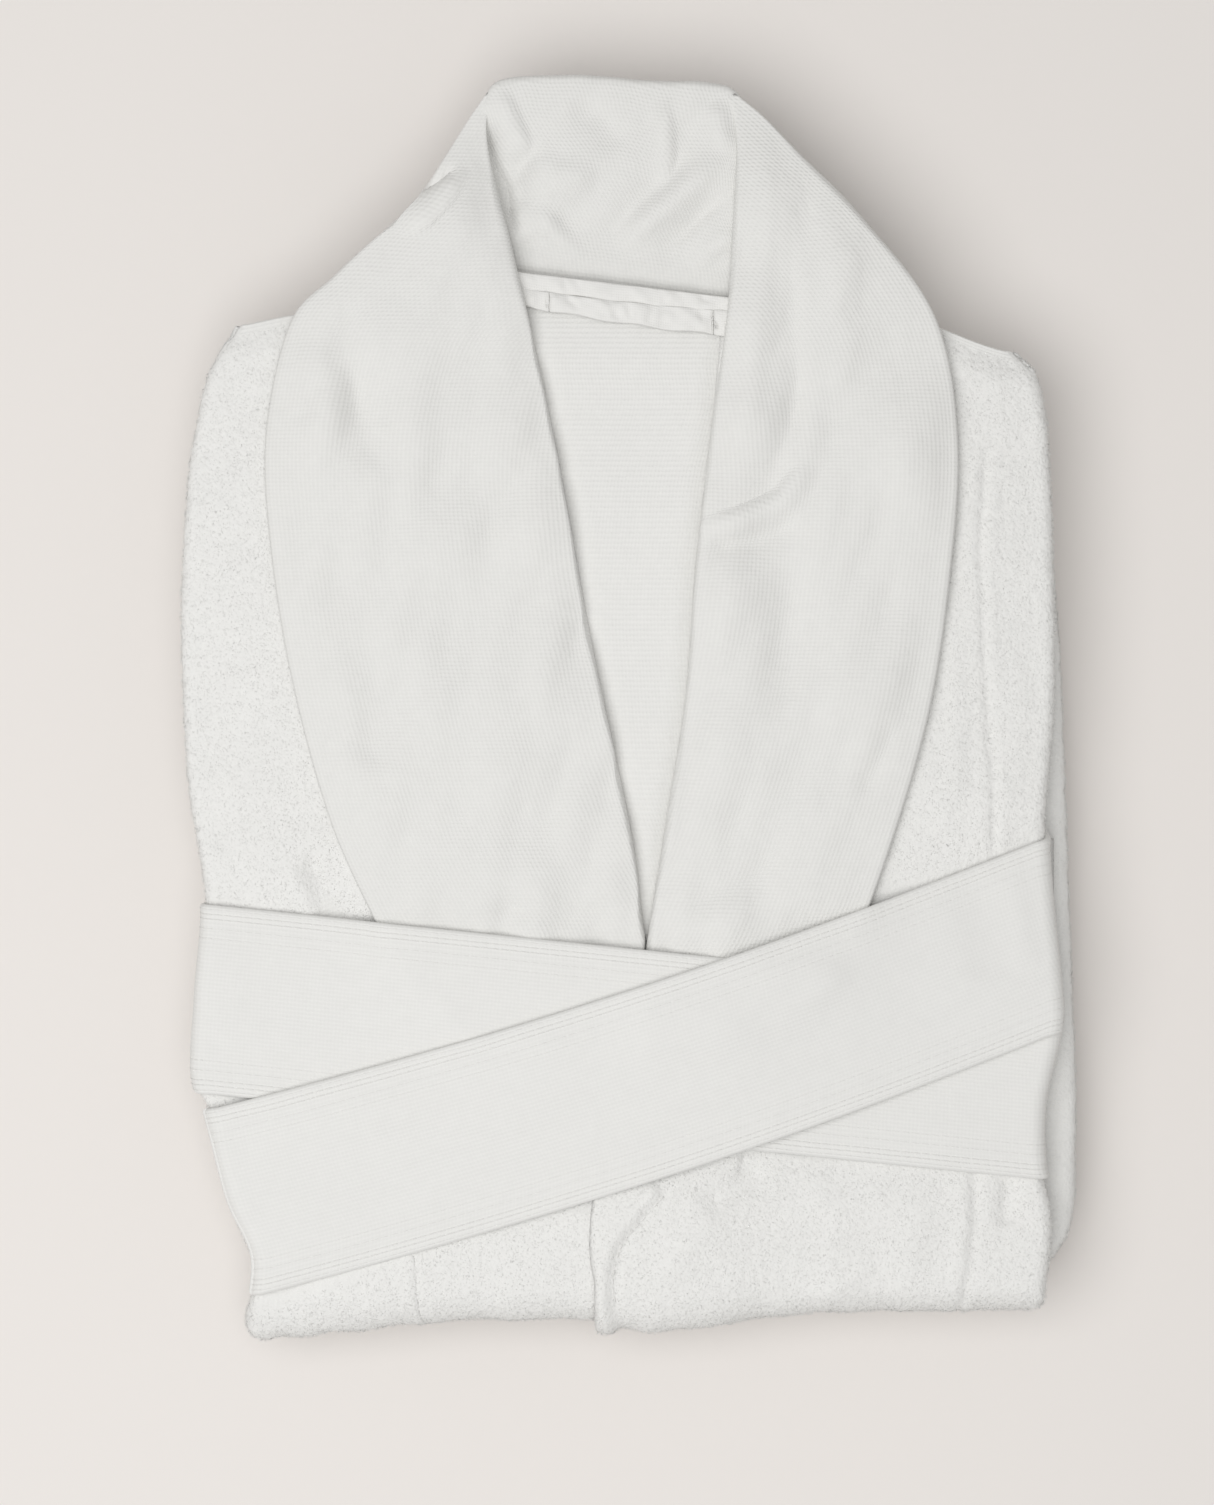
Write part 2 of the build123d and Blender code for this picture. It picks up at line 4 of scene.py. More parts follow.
import bpy
import numpy as np
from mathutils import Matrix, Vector


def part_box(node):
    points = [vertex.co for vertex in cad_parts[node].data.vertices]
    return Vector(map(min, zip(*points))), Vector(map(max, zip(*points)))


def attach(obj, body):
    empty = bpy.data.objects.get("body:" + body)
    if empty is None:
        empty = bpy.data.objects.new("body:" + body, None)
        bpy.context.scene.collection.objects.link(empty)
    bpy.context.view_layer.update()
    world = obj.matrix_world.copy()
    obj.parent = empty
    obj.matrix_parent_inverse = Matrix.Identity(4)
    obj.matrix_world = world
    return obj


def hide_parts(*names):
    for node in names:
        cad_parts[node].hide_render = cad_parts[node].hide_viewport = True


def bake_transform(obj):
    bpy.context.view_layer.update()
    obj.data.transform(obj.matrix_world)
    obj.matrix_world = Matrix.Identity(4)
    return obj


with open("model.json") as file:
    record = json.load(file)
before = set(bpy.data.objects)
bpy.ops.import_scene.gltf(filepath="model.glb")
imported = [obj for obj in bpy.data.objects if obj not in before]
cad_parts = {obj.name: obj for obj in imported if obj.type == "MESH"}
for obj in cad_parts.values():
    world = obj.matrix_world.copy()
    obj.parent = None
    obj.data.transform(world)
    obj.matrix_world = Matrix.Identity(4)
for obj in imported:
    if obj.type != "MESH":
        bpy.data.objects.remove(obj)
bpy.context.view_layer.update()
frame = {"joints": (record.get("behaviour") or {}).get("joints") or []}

MM = 0.001                       # lengths below are millimetres, Blender's are metres
UV_SCALE = 10.0                  # one UV unit is 100 mm of cloth
FAR = 1e9
BODICE, MIDDLE, LOWER = 0, 1, 2  # the package's thirds, from the top down
PANELS = {"left": "left_front", "right": "right_front", "back": "back"}


# ---- sizes, from the frame
def box(node):
    """Lowest and highest corner of a CAD node, in millimetres."""
    low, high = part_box(node)
    return np.array(low) / MM, np.array(high) / MM


def joint_place(name):
    place = next(j["pos_m"] for j in frame["joints"] if j["name"] == name)
    return np.array(place) / MM


CLOTH = box("left_pocket")[1][2] - box("left_pocket")[0][2]
HALF = CLOTH / 2
FOLD_TOP_Y, FOLD_TOP_Z = joint_place("skirt_unfold")[1:]
FOLD_LOW_Y, FOLD_LOW_Z = joint_place("bodice_unfold")[1:]
SHOULDER_Y = box("bodice_back")[1][1]
HEM_Y = box("skirt_lower_back")[0][1]
STAND_TOP_Z = box("collar_facing_back")[1][2]
STAND_BACK_Z = box("undercollar_back")[0][2]
LAPEL_LOW_Y = box("left_lapel_facing")[0][1]
LOOP_LOW, LOOP_HIGH = box("hanger_loop")
SIDE_Z = box("belt_back_run")[0][2] + 1.2      # the belt behind the bodice
HALF_BELT = 35.0
BELT_PLY = 3.0
LAPEL_PLY = 4.8                  # facing and undercollar together
PLY_RIM = 1.2                    # how far from its edges a ply is rounded off
LAY_GAP = 0.3                    # room above the fronts for what lies on them
UP = (0.0, 0.0, 1.0)


def ply_heights(panel):
    """Middle heights of a ply in the three thirds: across the package, and folded in behind."""
    run, wing = [], []
    for third, faces_up in (("bodice_", True), ("skirt_middle_", False), ("skirt_lower_", True)):
        low, high = box(third + panel)
        upper, lower = high[2] - HALF, low[2] + HALF
        run.append(upper if faces_up else lower)
        wing.append(lower if faces_up else upper)
    return run, wing


HEIGHTS = {kind: ply_heights(panel) for kind, panel in PANELS.items()}
WING_END = {-1: 6.0, 1: 14.0}    # where the plies folded in from each side end


# ---- small numeric tools
def between(grid, gx, gy):
    """A grid's value at fractional places, which wrap round its ends."""
    nx, ny = grid.shape
    ix, iy = np.floor(gx).astype(int), np.floor(gy).astype(int)
    fx, fy = gx - ix, gy - iy
    a, b = grid[ix % nx, iy % ny], grid[(ix + 1) % nx, iy % ny]
    c, d = grid[ix % nx, (iy + 1) % ny], grid[(ix + 1) % nx, (iy + 1) % ny]
    return (a * (1 - fx) + b * fx) * (1 - fy) + (c * (1 - fx) + d * fx) * fy


NOISE_GRID = 512


def noise(seed, shortest, longest, step):
    """Repeating noise with wavelengths between two limits in mm, and a spread of 1."""
    white = np.random.default_rng(seed).standard_normal((NOISE_GRID, NOISE_GRID))
    f = np.fft.fftfreq(NOISE_GRID, step)
    freq = np.hypot(f[:, None], f[None, :])
    band = np.exp(-((freq * shortest) ** 2)) * (1 - np.exp(-((freq * longest) ** 2)))
    grid = np.fft.ifft2(np.fft.fft2(white) * band).real
    grid /= grid.std()
    return lambda x, y: between(grid, np.asarray(x) / step, np.asarray(y) / step)


loops = noise(3, 1.5, 3.4, 0.5)
tufts = noise(5, 4.0, 9.0, 1.0)
crumple = noise(7, 16.0, 40.0, 2.0)
swell = noise(11, 45.0, 110.0, 4.0)


def ease(x, low, high):
    """0 below low, 1 above high, smooth between them."""
    t = np.clip((np.asarray(x, float) - low) / (high - low), 0, 1)
    return t * t * (3 - 2 * t)


def bump_at(x, middle, width):
    return np.exp(-(((x - middle) / width) ** 2))


def smooth_curve(points, count):
    """A Catmull-Rom curve through points, as count points evenly spaced along it."""
    p = np.array(points, float)
    p = np.vstack([2 * p[0] - p[1], p, 2 * p[-1] - p[-2]])
    t = np.linspace(0, 1, 24, endpoint=False)[:, None]
    fine = []
    for a, b, c, d in zip(p[:-3], p[1:-2], p[2:-1], p[3:]):
        square = (2 * a - 5 * b + 4 * c - d) * t**2
        cube = (3 * b - a - 3 * c + d) * t**3
        fine.append(0.5 * (2 * b + (c - a) * t + square + cube))
    fine = np.vstack(fine + [p[-2:-1]])
    length = np.concatenate([[0], np.cumsum(np.linalg.norm(np.diff(fine, axis=0), axis=1))])
    at = np.linspace(0, length[-1], count)
    return np.stack([np.interp(at, length, fine[:, k]) for k in range(fine.shape[1])], axis=1)


def along(points):
    """A smooth function through points (value, place); it returns the value at a place."""
    curve = smooth_curve(sorted(points, key=lambda p: p[1]), 400)
    places = np.maximum.accumulate(curve[:, 1])
    return lambda place: np.interp(place, places, curve[:, 0])


def crease(x, y, points, width, height, other=None, fade=0.3):
    """Height of a fold that follows a line; other is its width on the line's right side."""
    p = np.array(points, float)
    total = np.linalg.norm(np.diff(p, axis=0), axis=1).sum()
    best = np.full(np.shape(x), FAR)
    side, place = np.zeros(np.shape(x)), np.zeros(np.shape(x))
    run = 0.0
    for a, b in zip(p[:-1], p[1:]):
        d = b - a
        length = np.hypot(*d)
        t = np.clip(((x - a[0]) * d[0] + (y - a[1]) * d[1]) / length**2, 0, 1)
        dist = np.hypot(x - a[0] - t * d[0], y - a[1] - t * d[1])
        near = dist < best
        best = np.where(near, dist, best)
        side = np.where(near, d[0] * (y - a[1]) - d[1] * (x - a[0]), side)
        place = np.where(near, (run + t * length) / total, place)
        run += length
    spread = np.where(side < 0, other or width, width)
    return height * ease(place, 0, fade) * ease(1 - place, 0, fade) * np.exp(-((best / spread) ** 2))


def creases(x, y, folds):
    """The summed height of folds (points, width, height, width on the right[, fade])."""
    return sum(crease(x, y, *fold) for fold in folds)


RIM_SHARES = (0, 0.06, 0.2, 0.4, 0.65)         # places within a rim, as shares of its width


def graded(start, stop, pitch, rim):
    """Values from start to stop about pitch apart, closer together within rim of both ends."""
    span = abs(stop - start)
    count = max(2, int(round((span - 2 * rim) / pitch)))
    near = rim * np.array(RIM_SHARES)
    values = np.concatenate([near, np.linspace(rim, span - rim, count + 1), span - near[::-1]])
    return start + np.sign(stop - start) * values


def join(*grids):
    return np.concatenate(grids, axis=1)


def points(x, y, z):
    """Points from coordinates that broadcast to one grid."""
    return np.stack(np.broadcast_arrays(x, y, z), axis=-1)


def unit(vectors):
    return vectors / np.maximum(np.linalg.norm(vectors, axis=-1, keepdims=True), 1e-9)


def normals(mid, upward_at):
    """Unit normals of a grid of points, turned so that the one at a grid point looks up."""
    normal = unit(np.cross(np.gradient(mid, axis=0), np.gradient(mid, axis=1)))
    return normal * np.sign(normal[upward_at][2])


def lengths(mid, axis):
    """Distance along one axis of a grid of points."""
    steps = np.linalg.norm(np.diff(mid, axis=axis), axis=2)
    start = np.zeros_like(np.take(steps, [0], axis))
    return np.concatenate([start, np.cumsum(steps, axis=axis)], axis=axis)


# ---- cloth shells
WEIGHTS = {}
FACES_OUT = {}                   # outer face of each shell: its points, normals and weights


def add_object(name, data, location=(0, 0, 0)):
    obj = bpy.data.objects.new(name, data)
    obj.location = location
    bpy.context.scene.collection.objects.link(obj)
    return obj


def add_mesh(name, verts, faces):
    """A smooth-shaded object from points in mm."""
    mesh = bpy.data.meshes.new(name)
    mesh.from_pydata((np.asarray(verts) * MM).tolist(), [], faces)
    mesh.update()
    mesh.polygons.foreach_set("use_smooth", np.ones(len(mesh.polygons), bool))
    return add_object(name, mesh)


def add_copies(name, verts, pattern):
    """Many small bodies in one object: a row of points for each, and the faces of one."""
    size = verts.shape[1]
    starts = range(0, size * len(verts), size)
    faces = [tuple(start + k for k in face) for start in starts for face in pattern]
    return add_mesh(name, verts.reshape(-1, 3), faces)


def rounding(mid, thick, rim, wrap, open_start, open_end):
    """Half thickness at each grid point, falling to 0 at the closed edges, and a 0..1 ramp."""
    su, sv = lengths(mid, 0), lengths(mid, 1)
    edge = np.full(mid.shape[:2], FAR)
    if not wrap:
        edge = np.minimum(edge, np.minimum(su, su[-1:] - su))
    if not open_start:
        edge = np.minimum(edge, sv)
    if not open_end:
        edge = np.minimum(edge, sv[:, -1:] - sv)
    q = np.clip(edge / rim, 0, 1)
    half = thick / 2 * np.sqrt(1 - (1 - q) ** 2)
    half[edge < 1e-6] = 0
    return half, np.clip(edge / (2 * rim), 0, 1)


def shell(name, mid, thick, top=0.0, weight=0.0, flat=None, *, rim, up_at, facing=1, wrap=False,
          open_start=False, open_end=False):
    """A closed sheet of cloth round a grid of middle points (mm).

    Its edges are rounded off over rim, apart from those left open at the start or the end of
    the second axis. top is a relief on the outer face, weight the blend weight, flat the cloth
    coordinates. At the grid point up_at the outer face looks up, or down if facing is -1."""
    nu, nv = mid.shape[:2]
    flat = flat or (lengths(mid, 0), lengths(mid, 1))
    grids = [np.broadcast_to(g, (nu, nv)) for g in (thick, top, weight, *flat)]
    u, v = up_at
    across, down = mid[u + 1, v] - mid[u - 1, v], mid[u, v + 1] - mid[u, v - 1]
    if np.cross(across, down)[2] * facing < 0:
        mid, grids = mid[::-1], [g[::-1] for g in grids]
    thick, top, weight, flat_u, flat_v = grids
    if wrap:
        ring = np.concatenate([mid[-1:], mid, mid[:1]], axis=0)
        du = ring[2:] - ring[:-2]
    else:
        du = np.gradient(mid, axis=0)
    normal = unit(np.cross(du, np.gradient(mid, axis=1)))
    half, ramp = rounding(mid, thick, rim, wrap, open_start, open_end)
    outer = mid + normal * (half + top * ramp)[..., None]
    inner = mid - normal * half[..., None]
    shared = half == 0
    up = np.arange(nu * nv).reshape(nu, nv)
    down = np.where(shared, up, nu * nv + np.cumsum(~shared.ravel()).reshape(nu, nv) - 1)
    here = np.arange(nu if wrap else nu - 1)
    there = (here + 1) % nu

    def quads(index, order):
        a, b = index[here], index[there]
        corners = (a[:, :-1], b[:, :-1], b[:, 1:], a[:, 1:])
        return np.stack([corners[k].ravel() for k in order], axis=1).tolist()

    faces = quads(up, (0, 1, 2, 3)) + quads(down, (0, 3, 2, 1))
    line = list(range(nu)) + ([0] if wrap else [])
    for is_open, column, order in ((open_start, 0, (3, 2, 1, 0)), (open_end, -1, (0, 1, 2, 3))):
        if is_open:
            a, b = up[line, column], down[line, column]
            strip = [a[:-1], b[:-1], b[1:], a[1:]]
            for ring in zip(*(strip[k] for k in order)):
                corners = list(dict.fromkeys(ring))
                if len(corners) > 2:
                    faces.append(corners)
    obj = add_mesh(name, np.vstack([outer.reshape(-1, 3), inner[~shared]]), faces)
    mesh = obj.data
    corner = np.zeros(len(mesh.loops), np.int32)
    mesh.loops.foreach_get("vertex_index", corner)
    uv = [np.concatenate([f.ravel(), f[~shared]])[corner] * MM * UV_SCALE for f in (flat_u, flat_v)]
    layer = mesh.uv_layers.new(name="cloth")
    layer.data.foreach_set("uv", np.stack(uv, axis=1).astype(np.float32).ravel())
    WEIGHTS[name] = np.concatenate([weight.ravel(), weight[~shared]])
    FACES_OUT[name] = outer, normal, weight
    return obj


def ride(obj, body, *nodes):
    """Moves obj with a body; it stands for the CAD nodes."""
    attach(obj, body)
    if nodes:
        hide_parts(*nodes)


def bend(obj, body_a, body_b, *nodes):
    """Bakes obj's placement into its mesh and hides the CAD nodes that it stands for. body_a and body_b are
    not used.
    """
    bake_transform(obj)
    if nodes:
        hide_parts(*nodes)


# ---- outline of the package
LEFT_EDGE = along([(-146, 147), (-152, 137), (-157, 126), (-162, 98), (-164, 77), (-166, 33),
                   (-163.5, -26), (-157, -70), (-159, -105), (-160.5, -136), (-155.5, -150),
                   (-147, -184), (-138, -207), (-139, -226)])
RIGHT_EDGE = along([(142, 147), (149.5, 138), (153, 118), (154, 99), (155.5, 60), (156, 4),
                    (152.5, -48), (156.5, -100), (157, -118), (151, -146), (151, -168),
                    (155, -192), (151, -226)])
REAR_LEFT = along([(-124, 147), (-136, 134), (-151, 108), (-157, 60), (-156, -105), (-150, -150),
                   (-140, -188), (-132, -215)])
REAR_RIGHT = along([(118, 147), (131, 134), (147, 108), (156, 60), (160, 20), (163, -60),
                    (165, -114), (166, -165), (163, -196), (148, -215)])
LEFT_INNER = along([(-44, 150), (-30, 107), (-15, 26), (-2, -44), (2, -70), (8, -92), (20, -112),
                    (26, -135), (28, -170), (28, -226)])
RIGHT_INNER = along([(34, 150), (30, 107), (24, 55), (20, 4), (12.5, -44), (5, -91), (-3, -125),
                     (-11, -160), (-14.5, -182), (-15.5, -200), (-13, -216), (-10, -226)])
# sign of x, inner edge on the bodice, and the x of the inner edge on the skirt
SIDES = {"left": (-1, LEFT_INNER, 44.0), "right": (1, RIGHT_INNER, -12.0)}

# how far the lower fold rolls out at each x, as a share of its radius
FOLD_ROLL = {
    "left": along([(1.45, -150), (1.98, -132), (1.62, -112), (1.36, -96), (1.26, -80),
                   (1.05, -15), (1.05, 50)]),
    "right": along([(1.2, -20), (1.26, -4), (1.2, 25), (0.98, 62), (0.8, 100), (0.9, 122),
                    (0.78, 132), (0.9, 160)]),
    "back": along([(0.9, -160), (0.9, 160)]),
}
UPPER_ROLL = along([(0.3, -150), (0.85, -118), (0.95, -90), (0.95, 60), (0.6, 100), (0.1, 130),
                    (0.05, 150)])


def shoulder_fall(x, depth):
    """How far the shoulder seam falls towards the sleeves at x, at depth below it."""
    fall = 6.0 * ease(-x, 118, 158) + 15.0 * ease(x, 92, 148)
    return fall * (1 - ease(depth, 0, 80))


def neck_rise(x, depth):
    """How far the shoulder seam climbs towards the neck at x, at depth below it."""
    out = np.abs(x)
    return 15.0 * ease(out, 44, 60) * (1 - ease(out, 80, 112)) * (1 - ease(depth, 0, 45))


def belt_pinch(x, y):
    """How far the belt presses the cloth down at a point, from 0 to 1."""
    upper = np.where(x < 14, -72 - 0.115 * (x + 159), -94 + 0.33 * (x - 25))
    lower = np.where(x < 40, -213 + 0.33 * (x + 133), -166 - 0.03 * (x - 40))
    return ease(-(y - upper), -16, 4) * ease(y - lower, -14, 4)


def run_height(kind, third, x, y):
    """Middle height of a ply across the package: a soft swell that settles at the sides."""
    base = HEIGHTS[kind][0][third] + 0.0 * x
    if third != BODICE:
        return base + 0.25 * swell(x + 90 * third, y)
    across = 1 - np.clip(np.abs(x) / 165, 0, 1) ** 6
    z = base + 1.4 * across * ease(y, -250, -190) - 0.9 + 0.35 * swell(x, y)
    if kind == "right":
        lapped = ease(-x, -52, -30) * ease(-y, 92, 112)
        z = z - CLOTH * (1 - lapped)
    if kind == "back":
        opening = ease(RIGHT_INNER(y) - x, -1, 6) * ease(x - LEFT_INNER(y), -1, 6)
        return z + 2.2 * opening * ease(y, -73, -62) * (1 - ease(y, 126, 146))
    return z - 1.8 * belt_pinch(x, y)


# ---- folded panels
def steps(run, turn, wing):
    """Shares along a ply's run, its turn round the package's side and its wing behind."""
    shares = [np.linspace(0, 1, count + 1)[:, None] for count in (run, turn + 1, wing)]
    shares[1] = shares[1][1:-1]
    return shares


def half_section(kind, third, y, shares, sign, inner):
    """x and z of a ply from inner to one side of the package, round it and in behind."""
    run, turn, wing = shares
    sides = (LEFT_EDGE, RIGHT_EDGE) if third == BODICE else (REAR_LEFT, REAR_RIGHT)
    inset = CLOTH + 0.3 if kind == "back" else 0.0
    edge = sides[sign > 0](y) - sign * inset
    wing_z = HEIGHTS[kind][1][third] + 0 * y
    turn_z = run_height(kind, third, edge * 0.985, y)
    r = np.abs(turn_z - wing_z) / 2
    centre = edge - sign * r
    x_run = inner + (centre - inner) * run
    z_run = run_height(kind, third, x_run, y)
    z_run = z_run + (turn_z - z_run) * ease(run, 0.9, 1.0)
    x_turn = centre + sign * r * np.sin(turn * math.pi)
    z_turn = (turn_z + wing_z) / 2 + (turn_z - wing_z) / 2 * np.cos(turn * math.pi)
    x_wing = centre + (WING_END[sign] - centre) * wing
    z_wing = wing_z + 0 * x_wing
    return np.concatenate([x_run, x_turn, x_wing]), np.concatenate([z_run, z_turn, z_wing])


def section(kind, third, y, shares):
    """x and z of one ply's whole section at each y."""
    y = np.asarray(y, float)[None, :]
    if kind == "back":
        left, right = (half_section(kind, third, y, shares, sign, 0.0) for sign in (-1, 1))
        return [np.concatenate([a[::-1], b[1:]]) for a, b in zip(left, right)]
    sign, inner_line, skirt_inner = SIDES[kind]
    return half_section(kind, third, y, shares, sign, inner_line(y) if third == BODICE else skirt_inner)


def turn_over(xa, za, xb, zb, fold_y, fold_z, outward, count, roll):
    """Columns that carry a ply round an accordion fold, and the share of the turn of each."""
    share = np.linspace(0, 1, count + 2)[None, 1:-1]
    r = np.abs(za - fold_z) + (np.abs(zb - fold_z) - np.abs(za - fold_z)) * ease(share, 0, 1)
    x = xa + (xb - xa) * ease(share, 0, 1)
    x = x - 6.5 * (outward < 0) * np.sin(share * math.pi) * ease(-x, 95, 138)
    y = fold_y + outward * r * np.sin(share * math.pi) * roll
    z = fold_z + np.sign(za - fold_z) * r * np.cos(share * math.pi)
    return x, y, z, share + 0 * x


def right_seam(x, y):
    """Side seam, gathers and creases of the right front, and its rolled hem at the bottom."""
    seam = np.array([(132, 103), (129.5, 60), (131.5, 10), (134.5, -30), (134, -62)])
    pucker = np.sin(y * 2 * math.pi / 6.5 + 1.5 * np.sin(y * 0.11)) * (0.6 + 0.4 * np.sin(y * 0.37))
    z = crease(x, y, seam, 1.5, -1.0, fade=0.1) * (1 + 0.5 * pucker)
    z = z + crease(x, y, seam - [3.6, 0], 2.6, 0.4, fade=0.15) * (1 + 0.9 * pucker)
    z = z + crease(x, y, seam + [3.4, 0], 2.4, 0.4, fade=0.15) * (1 - 0.9 * pucker)
    low_seam = np.array([(127, -166), (127.5, -190), (125, -212), (121, -226)])
    z = z + crease(x, y, low_seam, 1.8, -1.1, fade=0.05) + crease(x, y, low_seam - [4.5, 0], 3.4, 0.8)
    hem = np.array([(16, -176), (6, -187), (-3, -198), (-6.5, -210), (-6, -222), (-1, -232)])
    z = z + crease(x, y, hem, 1.9, -1.1, 3.0, 0.12) + crease(x, y, hem - [5.4, 0], 4.6, 2.0, 4.0, 0.05)
    return z + creases(x, y, [
        ([(118, 40), (121, 0), (119, -30), (108, -58)], 4.5, 0.9, 3.0),
        ([(143, 20), (144, -10), (142, -30), (146, -50)], 5.0, 0.7, 6.0),
        ([(122, 88), (118, 60), (118, 30)], 3.5, -0.7, 4.5),
        ([(128, 128), (136, 112), (140, 92)], 6.0, 0.8, 5.0),
        ([(62, -168), (76, -190), (72, -224)], 8.0, 1.1, 4.5),
        ([(52, -170), (38, -178), (24, -186)], 5.0, -2.4, 7.0, 0.3),
        ([(36, -188), (20, -198), (10, -214)], 7.0, 1.4, 5.0),
        ([(92, -198), (80, -212), (66, -222)], 5.0, 1.2, 3.5),
        ([(140, -172), (139, -192)], 4.5, -2.2, 3.5, 0.15),
        ([(112, -176), (104, -196), (102, -220)], 6.0, 0.8, 6.0),
    ])


def left_creases(x, y):
    """The left front's puckers above the belt and at the bottom, and the pocket's seam."""
    return creases(x, y, [
        ([(-121, -52), (-114, -66), (-108, -84)], 3.5, -2.2, 5.0, 0.2),
        ([(-128, -54), (-122, -68), (-119, -86)], 4.5, 1.2, 3.5),
        ([(-108, -48), (-100, -66), (-93, -82)], 4.0, 1.3, 3.0),
        ([(-148, 118), (-146, 80), (-150, 30)], 9.0, 0.7, 9.0),
        ([(-81, -186), (-81, -232)], 1.0, 0.3, 1.0, 0.02),
        ([(-132, -214), (-118, -222), (-98, -224)], 6.0, 1.2, 4.0),
        ([(-122, -207), (-108, -213)], 4.5, -1.5, 3.5),
    ])


def terry_relief(x, y):
    return 0.13 * loops(x, y) + 0.08 * tufts(x, y)


RELIEF = {
    "left": lambda x, y, along_cloth: terry_relief(x, along_cloth) + left_creases(x, y),
    "right": lambda x, y, along_cloth: terry_relief(x, along_cloth) + right_seam(x, y),
    "back": lambda x, y, along_cloth: 0.12 * tufts(x, along_cloth),
}
FINE = {"left": (104, 8, 22), "right": (112, 8, 20), "back": (52, 5, 12)}
COARSE = {"left": (64, 8, 36), "right": (50, 8, 36), "back": (36, 6, 20)}
ROW_PITCH = {"left": 1.45, "right": 1.45, "back": 2.9}


def up_row(kind, mid):
    """A row on the run of a ply, where its outer face looks up."""
    return mid.shape[0] // 2 if kind == "back" else 20


def bodice_panel(kind, name):
    """A ply of the bodice, from the shoulder down and round the lower fold."""
    shares = steps(*FINE[kind])
    rows = graded(SHOULDER_Y, FOLD_LOW_Y, ROW_PITCH[kind], PLY_RIM)[:-len(RIM_SHARES)]
    rows[-1] = FOLD_LOW_Y
    xb, zb = section(kind, BODICE, rows, shares)
    xm, zm = section(kind, MIDDLE, [FOLD_LOW_Y], shares)
    depth = SHOULDER_Y - rows[None, :]
    upper = zb > HEIGHTS["back"][0][BODICE] - 3.0 * (kind == "back")
    yb = rows[None, :] - shoulder_fall(xb, depth) + upper * neck_rise(xb, depth)
    if kind == "back":
        yb = yb + 6.0 * ease(-np.abs(xb), -58, -44) * (1 - ease(depth, 0, 25))
    else:
        zb = zb - 3.0 * upper * (1 - ease(depth, 0, 14))
    xe, ze = xb[:, -1:], zb[:, -1:]
    roll = FOLD_ROLL[kind](xe) * (1 + 0.025 * crumple(xe, 5 + 0 * xe))
    tx, ty, tz, share = turn_over(xe, ze, xm, zm, FOLD_LOW_Y, FOLD_LOW_Z, -1, 22, roll)
    x, y, z = join(xb, tx, xm), join(yb, ty, FOLD_LOW_Y + 0 * xm), join(zb, tz, zm)
    weight = join(0 * xb, share, 1 + 0 * xm)
    mid = points(x, y, z)
    along_cloth = SHOULDER_Y - lengths(mid, 1)[mid.shape[0] // 3][None, :] + 0 * x
    obj = shell(name, mid, CLOTH, RELIEF[kind](x, y, along_cloth), weight, rim=PLY_RIM, open_end=True,
                up_at=(up_row(kind, mid), 20))
    bend(obj, "bodice", "skirt_middle", "bodice_" + PANELS[kind])
    return mid, weight


def skirt_panel(kind, name):
    """A ply of the skirt: the middle third, round the upper fold, and the lower third."""
    shares = steps(*COARSE[kind])
    rows = np.linspace(FOLD_LOW_Y, FOLD_TOP_Y, 90)
    hem_rows = graded(FOLD_TOP_Y, HEM_Y, 4.2, PLY_RIM)[len(RIM_SHARES):]
    hem_rows[0] = FOLD_TOP_Y
    xm, zm = section(kind, MIDDLE, rows, shares)
    xl, zl = section(kind, LOWER, hem_rows, shares)
    tx, ty, tz, share = turn_over(xm[:, -1:], zm[:, -1:], xl[:, :1], zl[:, :1],
                                  FOLD_TOP_Y, FOLD_TOP_Z, 1, 18, UPPER_ROLL(xm[:, -1:]))
    x, z = join(xm, tx, xl), join(zm, tz, zl)
    y = join(rows[None, :] + 0 * xm, ty, hem_rows[None, :] + 0 * xl)
    weight = join(1 + 0 * xm, 1 - share, 0 * xl)
    mid = points(x, y, z)
    relief = 0.2 * tufts(x + 300, y) + 0.1 * loops(x, y)
    obj = shell(name, mid, CLOTH, relief, weight, rim=PLY_RIM, open_start=True,
                up_at=(up_row(kind, mid), mid.shape[1] - 20))
    bend(obj, "skirt_lower", "skirt_middle", "skirt_middle_" + PANELS[kind],
         "skirt_lower_" + PANELS[kind])


panel_grid = {}
for kind, panel_name in PANELS.items():
    panel_grid[kind] = bodice_panel(kind, panel_name + "_bodice")
    skirt_panel(kind, panel_name + "_skirt")


